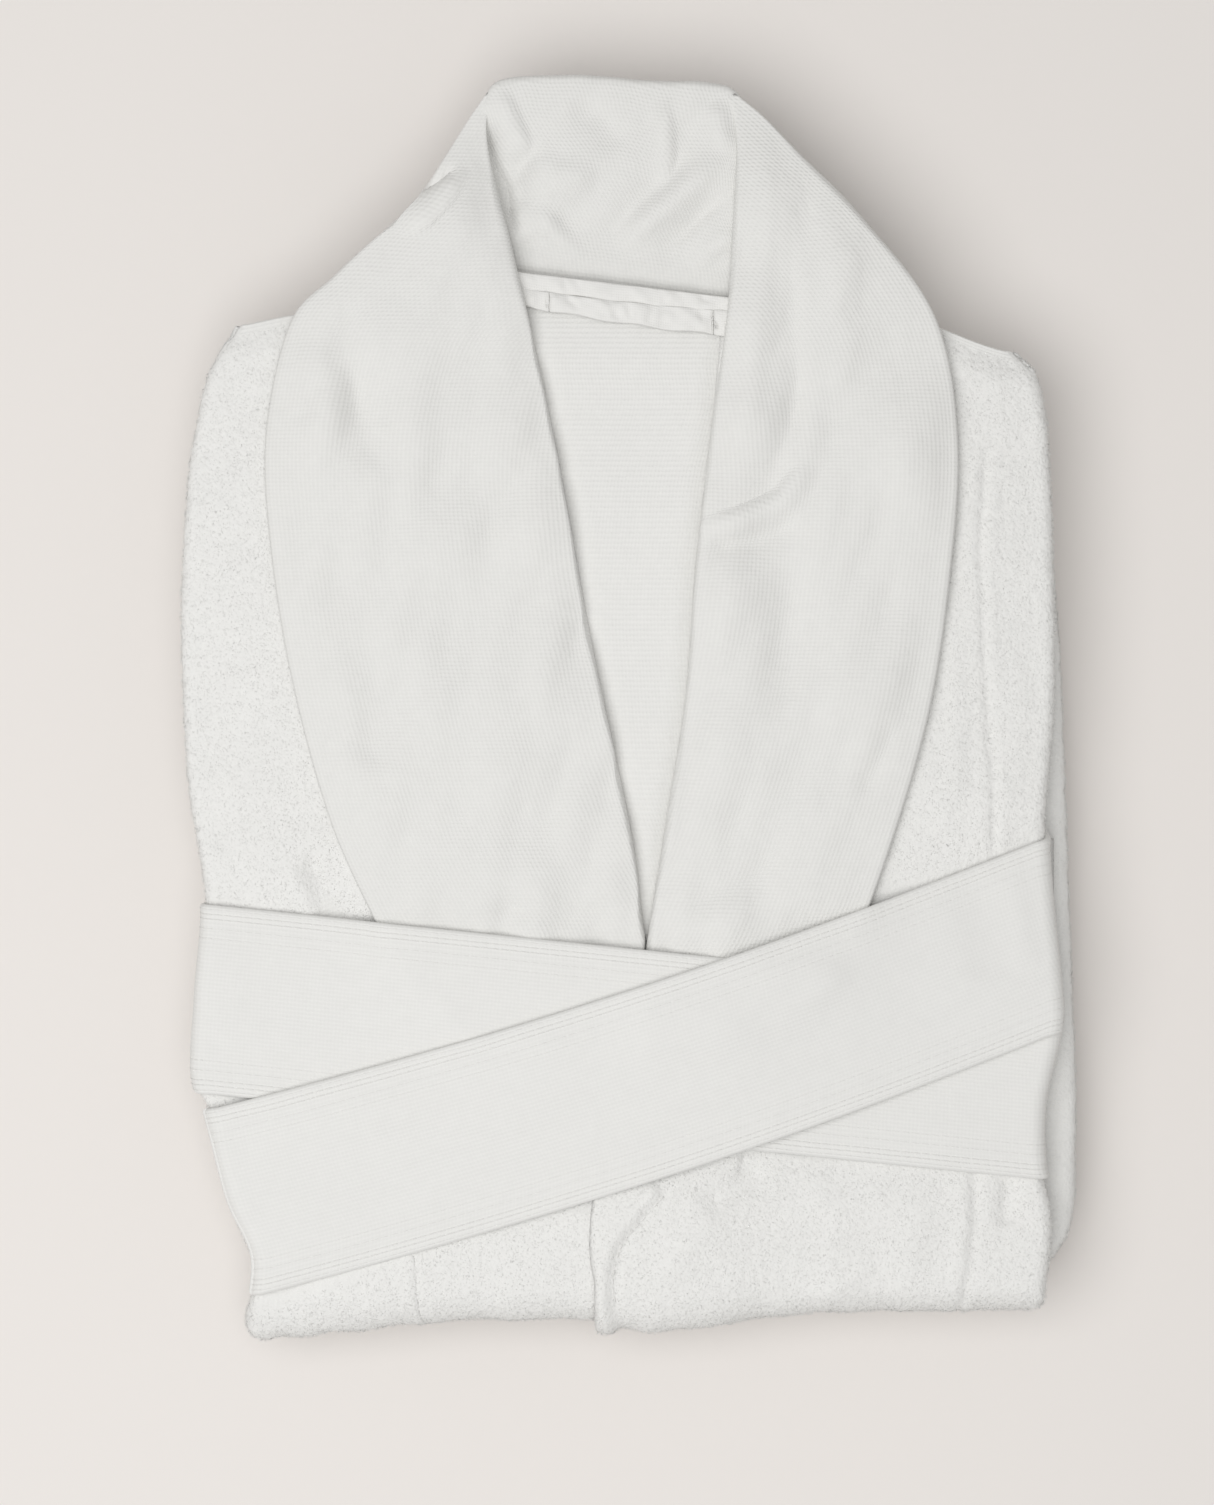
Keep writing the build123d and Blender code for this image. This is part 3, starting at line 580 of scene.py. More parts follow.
# ---- what lies on what
class Surface:
    """Height of the topmost cloth over the package, on a 1 mm grid; each new ply drapes on it."""

    def __init__(self):
        reach_x, reach_y = 175, 240
        self.low = (-reach_x, -reach_y)
        self.x, self.y = np.meshgrid(np.arange(-reach_x, reach_x + 1.0),
                                     np.arange(-reach_y, reach_y + 1.0), indexing="ij")
        back = run_height("back", BODICE, self.x, self.y) + HALF
        front = run_height("left", BODICE, self.x, self.y) + HALF + LAY_GAP
        self.h = back + (front - back) * ease(self.y, SHOULDER_Y - 8, SHOULDER_Y)
        self.covered = np.zeros(self.x.shape)

    def inside(self, outline):
        p = np.array(outline)
        hit = np.zeros(self.x.shape, bool)
        for a, b in zip(p, np.roll(p, -1, axis=0)):
            if a[1] != b[1]:
                crossing = (self.y > min(a[1], b[1])) & (self.y <= max(a[1], b[1]))
                hit ^= crossing & (self.x < a[0] + (self.y - a[1]) * (b[0] - a[0]) / (b[1] - a[1]))
        return hit

    def blur(self, grid, width):
        reach = int(3 * width)
        k = np.exp(-((np.arange(-reach, reach + 1) / width) ** 2) / 2)
        k /= k.sum()
        pad = np.pad(grid, reach, mode="edge")
        kernel = np.zeros(pad.shape)
        kernel[:2 * reach + 1, :2 * reach + 1] = k[:, None] * k[None, :]
        blurred = np.fft.irfft2(np.fft.rfft2(pad) * np.fft.rfft2(kernel), s=pad.shape)
        return blurred[2 * reach:, 2 * reach:]

    def blur_inside(self, grid, mask, width):
        return self.blur(grid * mask, width) / np.maximum(self.blur(mask, width), 1e-4)

    def drape(self, mask, widths, last):
        """Underside of a cloth laid over the surface inside mask: it bridges hollows."""
        z, inside = self.h, mask.astype(float)
        for width in widths:
            z = np.where(mask, np.maximum(self.h, self.blur_inside(z, inside, width)), z)
        return np.where(mask, self.blur_inside(z, inside, last), z)

    def spread(self, z, mask):
        """Fills the grid outside mask from its nearest values, so that edges sample cleanly."""
        filled = mask.astype(float)
        out = z * filled
        for width in (1.0, 2.0, 4.0, 8.0, 16.0):
            weight = self.blur(filled, width)
            grow = (filled == 0) & (weight > 0.02)
            out = np.where(grow, self.blur(out, width) / np.maximum(weight, 1e-4), out)
            filled = np.maximum(filled, grow)
        return np.where(filled > 0, out, z.mean())

    def sample(self, grid, x, y):
        gx = np.clip(x - self.low[0], 0, grid.shape[0] - 1.001)
        gy = np.clip(y - self.low[1], 0, grid.shape[1] - 1.001)
        return between(grid, gx, gy)

    def cover(self, mask, height, hides):
        """Lays a cloth over mask; hides is 1 where it always hides what is below it."""
        self.h = np.where(mask, np.maximum(self.h, height), self.h)
        self.covered = np.where(mask, np.maximum(self.covered, hides), self.covered)


surface = Surface()
rows = np.linspace(SHOULDER_Y, -232, 80)
for kind, inner_line, outer_line in (("left", LEFT_INNER, LEFT_EDGE), ("right", RIGHT_INNER, RIGHT_EDGE)):
    inner, outer = (np.stack([line(rows), rows], axis=1) for line in (inner_line, outer_line))
    outline = np.vstack([inner, outer[::-1]])
    front = run_height(kind, BODICE, surface.x, surface.y) + HALF + LAY_GAP
    surface.cover(surface.inside(outline), front, 0.0)


def slanted(x, y, degrees, stretch):
    """Crumples drawn out along one direction."""
    c, s = math.cos(math.radians(degrees)), math.sin(math.radians(degrees))
    return crumple(-s * x + c * y, (c * x + s * y) / stretch + 60)


# ---- collar stand
STAND_TOP = [(-60, 200), (-57, 214), (-53, 225), (-46, 231.3), (-20, 232.4), (8, 230.5), (30, 229.6),
             (38, 226.5), (44, 216), (50, 202)]
STAND_SEAM = [(-50, 163), (-41, 161), (-24, 158.6), (-6, 156.2), (14, 153.2), (34, 150.6), (44, 149)]
STAND_FOLDS = [
    ([(-55, 224), (-52, 208), (-47, 192), (-42, 172)], 3.8, -3.6, 5.6),
    ([(-50, 231), (-45, 220), (-40.5, 210), (-41, 199)], 2.6, 1.3, 5.0),
    ([(-40, 212), (-42, 196), (-38, 182)], 5.0, -1.8, 5.0),
    ([(-36, 186), (-28, 176), (-16, 163)], 3.6, 1.9, 5.5),
    ([(-42, 176), (-33, 167), (-26, 160)], 3.5, -1.5, 4.5),
    ([(12, 229), (12.5, 218), (13.5, 205), (11, 190)], 2.1, 1.1, 4.0),
    ([(21, 224), (20, 210), (16, 196)], 4.0, -0.6, 5.0),
    ([(24, 206), (8, 192), (-8, 177), (-22, 166)], 5.5, -1.8, 6.5),
    ([(36, 208), (24, 196), (6, 181), (-6, 170)], 4.0, 1.8, 5.5),
    ([(38, 192), (26, 183), (14, 172), (6, 162)], 3.5, -1.6, 5.0),
    ([(40, 178), (29, 170), (20, 158)], 3.2, 1.6, 4.0),
    ([(-24, 226), (-10, 217), (-2, 205)], 5.0, -1.0, 7.0),
    ([(30, 226), (33, 214), (37, 204)], 3.6, 1.2, 4.0),
    ([(-38, 205), (-28, 198), (-12, 196)], 5.0, 0.9, 6.0),
]


def collar_stand():
    """Back of the shawl collar: up from the neck seam, over the top edge, down behind."""
    top_edge, seam = smooth_curve(STAND_TOP, 120), smooth_curve(STAND_SEAM, 120)
    rise = np.linspace(0, 1, 62)[None, :]
    x, y = (seam[:, k, None] * (1 - rise) + top_edge[:, k, None] * rise for k in (0, 1))
    settled = ease(rise, 0.06, 0.35)
    z = STAND_TOP_Z - 6.6 + 4.6 * ease(rise, 0, 0.55) + 0.9 * bump_at(rise, 0.1, 0.06)
    z = z + settled * (0.45 * slanted(x, y, 48, 3.0) + 0.3 * swell(x, y))
    z = z + 1.5 * settled * creases(x, y, STAND_FOLDS)
    back_z = STAND_BACK_Z - 4.0
    turn = np.linspace(0, 1, 12)[None, 1:-1]
    edge_x, edge_y, edge_z = x[:, -1:], y[:, -1:], z[:, -1:]
    middle_z, r = (edge_z + back_z) / 2, (edge_z - back_z) / 2
    down = np.linspace(0, 1, 26)[None, :]
    bx = edge_x * (1 + 26 / 50 * down)
    by = edge_y + 0.92 * (165 - edge_y) * down
    bz = back_z + 0.5 * crumple(bx, by + 100) * np.sin(down * math.pi)
    mid = points(join(x, edge_x + 0 * turn, bx),
                 join(y, edge_y + 0.45 * r * np.sin(turn * math.pi), by),
                 join(z, middle_z + r * np.cos(turn * math.pi), bz))
    return shell("collar_stand", mid, 3.4, rim=1.4, up_at=(60, 20))


ride(collar_stand(), "bodice", "collar_facing_back", "undercollar_back")
stand_mask = surface.inside(STAND_TOP + STAND_SEAM[::-1])
surface.cover(stand_mask, STAND_TOP_Z - 4.9 + 4.6 * ease(surface.y, 156, 196), 1.0)

# ---- lapels
LEFT_ROLL = [(-3, -124), (2, -104), (5, -88), (4, -76), (-0.4, -44), (-15, 26), (-30, 107), (-43, 166),
             (-49.5, 192), (-53, 208), (-53.5, 219), (-50, 229)]
LEFT_OUTER = [(-60, -124), (-84, -100), (-93, -82), (-111, -42), (-125.5, 11), (-133.6, 62), (-135, 103),
              (-126, 143), (-110, 160), (-93, 176), (-80, 188), (-70, 203), (-61, 217.5), (-53.5, 228.5)]
LEFT_FOLDS = [
    ([(-64, 200), (-71, 193), (-80, 187)], 1.9, -2.2, 3.2),
    ([(-62, 200), (-70, 187), (-84, 174)], 3.4, 1.8, 5.0),
    ([(-80, 194), (-86, 186), (-96, 178)], 2.4, 0.9, 2.0),
    ([(-122, 138), (-112, 120), (-106, 92)], 7.0, 1.3, 10.0),
    ([(-103, 134), (-100, 110), (-94, 82)], 8.0, -1.7, 8.0),
    ([(-88, 152), (-82, 120), (-78, 84)], 10.0, 1.2, 12.0),
    ([(-112, 66), (-102, 34), (-94, 0)], 9.0, -0.8, 10.0),
    ([(-112, -24), (-102, -20), (-92, -30)], 5.0, 0.6, 8.0),
    ([(-60, -70), (-30, -76), (2, -74)], 6.0, -1.4, 6.0),
]
RIGHT_ROLL = [(4, -126), (3, -108), (5, -91), (12.5, -44), (20, 4), (24, 55), (30, 107), (35.5, 147),
              (38, 188), (39, 206), (38, 219), (35, 227.5)]
RIGHT_OUTER = [(40, -122), (72, -104), (87, -76), (109, -6), (118.5, 55), (120.5, 103), (112, 146),
               (84, 184), (62, 206), (49, 219.5), (38.5, 228.2)]
RIGHT_FOLDS = [
    ([(23, 65), (40, 71), (56, 78), (66, 92)], 1.8, 2.0, 4.6),
    ([(24, 59), (44, 62), (66, 70)], 4.0, -1.6, 7.0),
    ([(58, 176), (60, 130), (62, 84)], 4.5, -1.9, 8.0),
    ([(64, 60), (58, 30), (52, -10)], 8.0, -1.5, 11.0),
    ([(74, 190), (76, 150), (78, 104)], 9.0, 1.3, 7.0),
    ([(45, 164), (44, 120), (42, 90)], 6.0, 1.3, 8.0),
    ([(113, 132), (108, 96), (104, 56)], 6.0, 1.0, 8.0),
    ([(100, 24), (92, 0), (80, -26)], 7.0, 0.9, 9.0),
    ([(98, -2), (90, -22), (82, -34)], 4.0, -1.0, 5.0),
    ([(40, 30), (46, 0), (44, -40)], 10.0, 0.8, 10.0),
    ([(64, -48), (40, -64), (18, -76)], 6.0, -0.9, 6.0),
]


def lapel(name, body, roll_line, outer_line, folds):
    """One lapel: a fat roll along its inner line, lying on the front, its low end under the belt."""
    inner, outer = smooth_curve(roll_line, 210), smooth_curve(outer_line, 210)
    share = graded(0, 1, 1 / 66, 0.03)[:, None]
    x = inner[:, 0] * (1 - share) + outer[:, 0] * share
    y = inner[:, 1] * (1 - share) + outer[:, 1] * share
    mask = surface.inside(np.vstack([inner, outer[::-1]]))
    resting = surface.drape(mask, (7, 6, 5, 4, 3, 2, 2), 1.5)
    width = np.linalg.norm(outer - inner, axis=1)[None, :]
    from_roll, from_edge = share * width, (1 - share) * width
    pinch = belt_pinch(x, y)
    loft = 1.6 * ease(from_roll, 0, 14) * ease(from_edge, 0, 20) * (1 - 0.8 * pinch)
    z = surface.sample(surface.spread(resting, mask), x, y) + LAPEL_PLY / 2 + loft
    z = z + ease(from_edge, 0, 22) * (0.6 * swell(x + 7, y) + 0.5 * slanted(x, y, 75, 2.6))
    tip = ease(width, 4, 26)
    high = ease(y, 176, 228)
    z = z + 1.45 * tip * creases(x, y, folds)
    roll = bump_at(from_roll, 0, 7.0) * ease(width, 8, 40)
    # above the shoulders the outer line is a fold round which the collar falls behind
    over = ease(y, 150, 176) * bump_at(from_edge, 0, 15.0) * ease(width, 10, 50)
    thick = (LAPEL_PLY + 3.4 * roll + 7.5 * over - 0.9 * pinch) * (0.35 + 0.65 * tip) * (1 - 0.5 * high)
    z = z - 1.4 * roll - 3.5 * over - 1.5 * (1 - tip) - 2.6 * high
    pinned_low = ease(y, LAPEL_LOW_Y - 2, LAPEL_LOW_Y + 115)
    weight = pinned_low * (1 - ease(y, 118, 196)) * ease(from_roll, 0.5, 9)
    relief = 0.05 * tufts(x, y)
    obj = shell(name, points(x, y, z), thick, relief, weight, (from_edge, y),
                rim=np.maximum(thick / 2, 1.5), up_at=(36, 80))
    bend(obj, "bodice", body, body + "_facing", body + "_undercollar", body + "_end")
    surface.cover(mask, surface.drape(mask, (3, 2), 1.0) + LAPEL_PLY + 1.2, 0.6)


lapel("left_lapel_roll", "left_lapel", LEFT_ROLL, LEFT_OUTER, LEFT_FOLDS)
lapel("right_lapel_roll", "right_lapel", RIGHT_ROLL, RIGHT_OUTER, RIGHT_FOLDS)


# ---- neck tape and hanger loop
def band(name, from_x, to_x, middle, width, z, thick, wave):
    """A narrow band along middle(x), width(x) wide, gathered a little by the seam."""
    x = np.linspace(from_x, to_x, max(8, int(abs(to_x - from_x) * 1.4)))[None, :]
    across = graded(-0.5, 0.5, 0.16, 0.12)[:, None]
    y = middle(x) + across * width(x) + wave * np.sin(x * 0.28 + 1) * (0.6 - across)
    rise = z + wave * np.sin(x * 0.39 + across * 2) + 1.1 * (0.25 - across**2)
    relief = wave * 1.2 * crumple(x * 3, y * 3)
    return shell(name, points(x, y, rise), thick, relief, rim=0.5 * thick, up_at=(3, 4))


def loop_middle(x):
    return 147.4 - 0.124 * x - 0.9 * (1 - (x / 37) ** 2)


def loop_width(x):
    return 8.1 + 0.04 * x


TACK_LOW, TACK_HIGH = box("hanger_loop_bartacks")
LOOP_ENDS = (TACK_LOW[0] + 1.6, TACK_HIGH[0] - 1.6)
LOOP_Z = LOOP_HIGH[2] + 1.1
ride(band("neck_seam_tape", -50, 44, lambda x: 153.6 - 0.121 * x, lambda x: 6.5 + 0 * x,
          LOOP_LOW[2] + 1.8, 1.5, 0.2), "bodice", "neck_tape")
for name, from_x, to_x, z, thick, body, *nodes in (
        ("hanging_loop", *LOOP_ENDS, LOOP_Z, 1.9, "hanger_loop", "hanger_loop"),
        ("loop_left_end", -47, LOOP_ENDS[0] + 0.4, LOOP_Z - 0.1, 1.8, "bodice"),
        ("loop_right_end", LOOP_ENDS[1] - 0.4, 44, LOOP_Z - 0.1, 1.8, "bodice")):
    ride(band(name, from_x, to_x, loop_middle, loop_width, z, thick, 0.35), body, *nodes)


# ---- belt
TOPSTITCH = (-33.0, -31.2, -29.4, -27.0, -23.4, 23.4, 27.0, 29.4, 31.2, 33.0)
SIDE_X = 158.0                   # roughly where the belt passes the package's sides
ROUND = 4.2                      # radius of its turn over the package's edge
TUCK = 3.0                       # radius of its turn in behind


def topstitch_groove(w):
    return sum(-0.2 * bump_at(w, line, 0.8) for line in TOPSTITCH)


class Strand:
    """A belt strand across the front: rows cross its width, columns follow the package round."""

    def __init__(self, line, reach_left, reach_right, folds):
        a, b, c = line
        self.centre = lambda x: a + b * x + c * x * x
        self.slope = lambda x: b + 2 * c * x
        w = graded(-HALF_BELT, HALF_BELT, 1.8, 1.6)[:, None]
        rows = w * math.hypot(1, b)
        y_left, y_right = self.centre(-SIDE_X) + rows, self.centre(SIDE_X) + rows
        left, right = LEFT_EDGE(y_left), RIGHT_EDGE(y_right)
        mask = surface.inside(np.vstack([join(left, y_left), join(right, y_right)[::-1]]))
        under = surface.spread(surface.drape(mask, (16, 12, 10, 8, 6, 4, 3), 2.2), mask)
        left, right = left - 1.6 + ROUND, right + 1.6 - ROUND
        x = left + (right - left) * np.linspace(0, 1, 190)[None, :]
        y = self.centre(x) + rows
        z = surface.sample(under, x, y) + BELT_PLY / 2 + 0.14 * slanted(x, y, 18, 3.0) + creases(x, y, folds)
        surface.cover(mask, under + BELT_PLY + 0.2, 1.0)
        left = self.wrap(x[:, :1], y[:, :1], z[:, :1], -1, reach_left)
        right = self.wrap(x[:, -1:], y[:, -1:], z[:, -1:], 1, reach_right)
        parts = zip(left, (x, y, z, 0 * x), right)
        gx, gy, gz, self.share = [join(start[:, ::-1], front, end) for start, front, end in parts]
        self.share[:, :left[0].shape[1]] = 0
        self.mid = points(gx, gy, gz)
        self.w = w + 0 * gx
        self.upward_at = (20, gx.shape[1] // 2)

    def wrap(self, x0, y0, z0, sign, reach):
        """The strand past the package's edge: over it, down the side and, if long, in behind.

        reach below 1 stops that far down the side; above 1 it is the length behind, in mm."""
        a = np.linspace(0, 1, 12)[None, 1:-1] * math.pi / 2
        drop = np.linspace(0, 1, 10)[None, :]
        depth = z0 - ROUND - SIDE_Z - (TUCK if reach > 1 else (1 - reach) * 12)
        out = [ROUND * np.sin(a), ROUND + 0.4 * np.sin(drop * math.pi)]
        down = [ROUND * (1 - np.cos(a)), ROUND + depth * drop]
        run = [ROUND * a * 0.6, ROUND * 0.9 + depth * drop]
        share = [a / math.pi, 0.5 + 0.5 * drop]
        if reach > 1:
            back = (reach - TUCK) * np.linspace(0, 1, int(reach / 3) + 2)[None, 1:]
            turn = ROUND - TUCK * (1 - np.cos(a))
            out += [turn, turn[:, -1:] - back]
            under = ROUND + depth + TUCK * np.sin(a)
            down += [under, under[:, -1:] + 0 * back]
            run += [ROUND * 0.9 + depth + TUCK * a, ROUND * 0.9 + depth + TUCK * a[:, -1:] + 0.25 * back]
            share += [1 + 0 * a, 1 + 0 * back]
        out, down, run, share = (
            join(*(part + 0 * x0 for part in parts)) for parts in (out, down, run, share))
        return x0 + sign * out, y0 + sign * self.slope(sign * 150.0) * run, z0 - down, share

    def build(self, name, weight=0.0):
        return shell(name, self.mid, BELT_PLY, topstitch_groove(self.w), weight,
                     (self.w, lengths(self.mid, 1)), rim=1.6, up_at=self.upward_at)

    def stitch_lines(self, weight):
        """Lines of the topstitching on the strand's outer face."""
        out = normals(self.mid, self.upward_at)
        weight = np.broadcast_to(weight, self.w.shape)
        rows = [int(np.argmin(np.abs(self.w[:, 0] - place))) for place in TOPSTITCH]
        return [(self.mid[k] + out[k] * (BELT_PLY / 2 - 0.12), out[k], weight[k]) for k in rows]


under_strand = Strand((-123.4, -0.102, 0.0), 40, 60, [
    ([(-150, -78), (-146, -100), (-150, -130)], 5.0, 0.5, 8.0),
])
ride(under_strand.build("belt_under_front"), "bodice", "belt_under_strand")
top_strand = Strand((-140.0, 0.325, 0.000242), 0.2, 0.9, [
    ([(112, -62), (119, -86), (126, -110)], 8.0, 0.7, 11.0),
    ([(138, -52), (143, -76), (148, -102)], 5.0, 0.9, 8.0),
    ([(60, -90), (40, -112), (24, -132)], 14.0, 0.8, 14.0),
    ([(-20, -120), (-34, -142), (-40, -166)], 16.0, 0.5, 16.0),
])
# 1 on the front and 0 low on the side, where the strand comes from behind
tail_weight = 1 - ease(top_strand.share, 0.12, 0.62)
bend(top_strand.build("belt_top_front", tail_weight), "bodice", "belt_tail", "belt_top_strand")


def back_run():
    """The belt behind the bodice, from the top strand's side to the under strand's."""
    low, high = box("belt_back_run")
    x = np.linspace(high[0] - 3.0, low[0] + 3.0, 120)[None, :]
    w = graded(-HALF_BELT, HALF_BELT, 3.0, 1.6)[:, None]
    mid = points(x, -94.5 + 0.073 * x + w, SIDE_Z)
    return shell("belt_back", mid, 2.0, topstitch_groove(w), flat=(w, x), rim=1.2, up_at=(10, 60), facing=-1)


ride(back_run(), "bodice", "belt_back_run")


# ---- sleeves, cuffs, pockets, carriers
def flat_tube(name, low, high, inward, fall, ply, rows, relief):
    """A sleeve or cuff laid flat: a closed wall round a thin slit, narrower at the hand end.

    inward moves the hand end towards the package's middle; fall is how much of the slope of the
    shoulder the upper end has."""
    a = np.linspace(0, 2 * math.pi, 150, endpoint=False)[:, None]
    y = graded(high[1], low[1], (high[1] - low[1]) / rows, 1.0)[None, :]
    share = (high[1] - y) / (high[1] - low[1])
    half_w = (high[0] - low[0]) / 2 * (1 - 0.06 * share) - ply / 2
    half_h = (high[2] - low[2]) / 2 - ply / 2 - 0.1
    middle = (low[0] + high[0]) / 2
    x = middle - np.sign(middle) * inward * share
    x = x + half_w * np.sign(np.cos(a)) * np.abs(np.cos(a)) ** 0.8
    z = (low[2] + high[2]) / 2 + half_h * np.abs(np.sin(a)) ** 0.35 * np.sign(np.sin(a)) + 0 * y
    slope = 1.7 * shoulder_fall(x, high[1] - y) + 5.0 * ease(-x, 90, 150) * ease(y - high[1], -60, 0)
    y = y - fall * slope
    return shell(name, points(x, y, z), ply, relief(x, y), wrap=True, rim=ply / 2, up_at=(37, 4))


def patch(name, low, high, ply, stitched_x, stitched_y):
    """A flat sewn-on piece of cloth with a stitched margin, its outer face down."""
    x = graded(low[0], high[0], 3.0, 1.4)[:, None]
    y = graded(low[1], high[1], 3.0, 1.4)[None, :]
    mid = points(x * (1 - 0.11 * ease(-y, 130, 185)), y, (low[2] + high[2]) / 2)
    relief = 0.14 * tufts(mid[..., 0], mid[..., 1])
    for across, lines in ((x, stitched_x), (y, stitched_y)):
        for line in lines:
            relief = relief - 0.5 * bump_at(across, line, 0.8)
    return shell(name, mid, ply, relief, rim=ply / 2, up_at=(6, 6), facing=-1)


def sleeve_relief(x, y):
    return 0.16 * tufts(x, y + 40) + 0.25 * crumple(x, y)


def cuff_relief(x, y):
    low, high = box("left_cuff")
    return sum(-0.35 * bump_at(y, line, 0.8) for line in (high[1] - 6, high[1] - 9, low[1] + 6))


for side in ("left", "right"):
    sleeve, hand = box(side + "_sleeve"), box(side + "_cuff")
    ride(flat_tube(side + "_sleeve_tube", *sleeve, 0.0, 1.0, 1.9, 110, sleeve_relief),
         side + "_sleeve", side + "_sleeve")
    ride(flat_tube(side + "_turned_cuff", hand[0] - [0, 0, 0.1], hand[1] + [0, 2, 0], 5.5, 0.0, 2.0, 40,
                   cuff_relief), side + "_sleeve", side + "_cuff")
    low, high = box(side + "_pocket")
    ride(patch(side + "_pocket_bag", low, high, CLOTH, (low[0] + 6, high[0] - 6), (high[1] - 6,)),
         "skirt_middle", side + "_pocket")
    low, high = box(side + "_belt_loop")
    ride(patch(side + "_belt_carrier", low, high, 1.6, (), (low[1] + 4, high[1] - 4)),
         "bodice", side + "_belt_loop")


def pocket_edge(name):
    """The pocket's sewn-on upper edge, on the left front and round its side and lower fold."""
    mid, weight = panel_grid["left"]
    seam_x = box("left_pocket_mouth")[1][0]
    end = FINE["left"][0] + FINE["left"][1] + 2          # where the ply's wing begins
    columns = [k for k in range(end) if mid[k, 240, 0] < seam_x]
    rows = [k for k in range(mid.shape[1]) if mid[50, k, 1] < -186 and weight[50, k] < 0.86]
    area = (slice(columns[0], end), slice(rows[0], rows[-1] + 1))
    part = mid[area]
    x, y, z = np.moveaxis(part, 2, 0)
    from_seam = lengths(part, 0)
    raised = HALF - 0.5 + 0.75 * ease(from_seam, 0, 3.2) * ease(from_seam[-1:] - from_seam, 0, 4)
    relief = terry_relief(x + 33, y + 2 * z) + 0.3 * bump_at(from_seam, 2.6, 1.6)
    part = part + normals(part, (5, 2)) * raised[..., None]
    return shell(name, part, 0.9, relief, weight[area], rim=1.2, up_at=(5, 2))


bend(pocket_edge("left_pocket_edge"), "bodice", "skirt_middle", "left_pocket_mouth")


# ---- terry pile
PILE_PER_MM2 = 0.9


def terry_pile(name, panel, seed, body_a, body_b, lowest, sides_only=False):
    """Cotton loops of the pile as small bent tufts, where the panel's outer face is bare."""
    outer, normal, weight = FACES_OUT[panel]
    rng = np.random.default_rng(seed)
    corner = outer[:-1, :-1]
    area = np.linalg.norm(np.cross(outer[1:, :-1] - corner, outer[:-1, 1:] - corner), axis=2)
    share = 1 - surface.sample(surface.covered, corner[..., 0], corner[..., 1]) * (1 - sides_only)
    side = np.abs(normal[:-1, :-1, 2]) < 0.75
    seen = (normal[:-1, :-1, 2] > -0.25) & (corner[..., 2] > lowest)
    if sides_only:
        seen &= side & (np.abs(corner[..., 0]) > 120)
    chance = (area * np.where(side, 1, share) * seen).ravel()
    count = int(chance.sum() * PILE_PER_MM2)
    cell = rng.choice(chance.size, count, p=chance / chance.sum())
    u, v = np.unravel_index(cell, area.shape)
    fu, fv = rng.random((2, count, 1))
    root = (outer[u, v] * (1 - fu) + outer[u + 1, v] * fu) * (1 - fv) + (
        outer[u, v + 1] * (1 - fu) + outer[u + 1, v + 1] * fu) * fv
    out = normal[u, v]
    lean = rng.normal(0, 1, (count, 3)) + [-0.7, -0.9, 0]
    lean = unit(lean - out * np.sum(lean * out, axis=1, keepdims=True))
    across = np.cross(out, lean)
    upright = 1 - np.abs(out[:, 2:])
    length = rng.uniform(0.5, 0.95, (count, 1)) * (1 + 0.9 * upright)
    radius = rng.uniform(0.11, 0.16, (count, 1))
    knee = root + ((0.36 + 0.4 * upright) * out + 0.6 * lean) * length * 0.6
    tip = knee + (0.3 * upright * out + 1.0 * lean) * length * 0.5
    rings = []
    for centre, size in ((root - 0.15 * out, 1.0), (knee, 0.85)):
        for angle in (0.0, 2 * math.pi / 3, 4 * math.pi / 3):
            rings.append(centre + radius * size * (across * math.cos(angle) + out * math.sin(angle)))
    pattern = [(0, 1, 4, 3), (1, 2, 5, 4), (2, 0, 3, 5), (3, 4, 6), (4, 5, 6), (5, 3, 6), (2, 1, 0)]
    obj = add_copies(name, np.stack(rings + [tip], axis=1), pattern)
    WEIGHTS[name] = np.repeat(weight[u, v], len(rings) + 1)
    bend(obj, body_a, body_b)


for side, seed in (("left", 23), ("right", 29)):
    terry_pile(side + "_front_pile", side + "_front_bodice", seed, "bodice", "skirt_middle", FOLD_LOW_Z)
    terry_pile(side + "_skirt_pile", side + "_front_skirt", seed + 1, "skirt_lower", "skirt_middle", 4.0,
               sides_only=True)
terry_pile("left_pocket_pile", "left_pocket_edge", 31, "bodice", "skirt_middle", FOLD_LOW_Z)


# ---- stitches
STITCH = [(k, (k + 1) % 6, (k + 1) % 6 + 6, k + 6) for k in range(6)]
STITCH = [tuple(ring + k for k in face) for ring in (0, 6, 12) for face in STITCH]
STITCH += [tuple(range(5, -1, -1)), tuple(range(18, 24))]


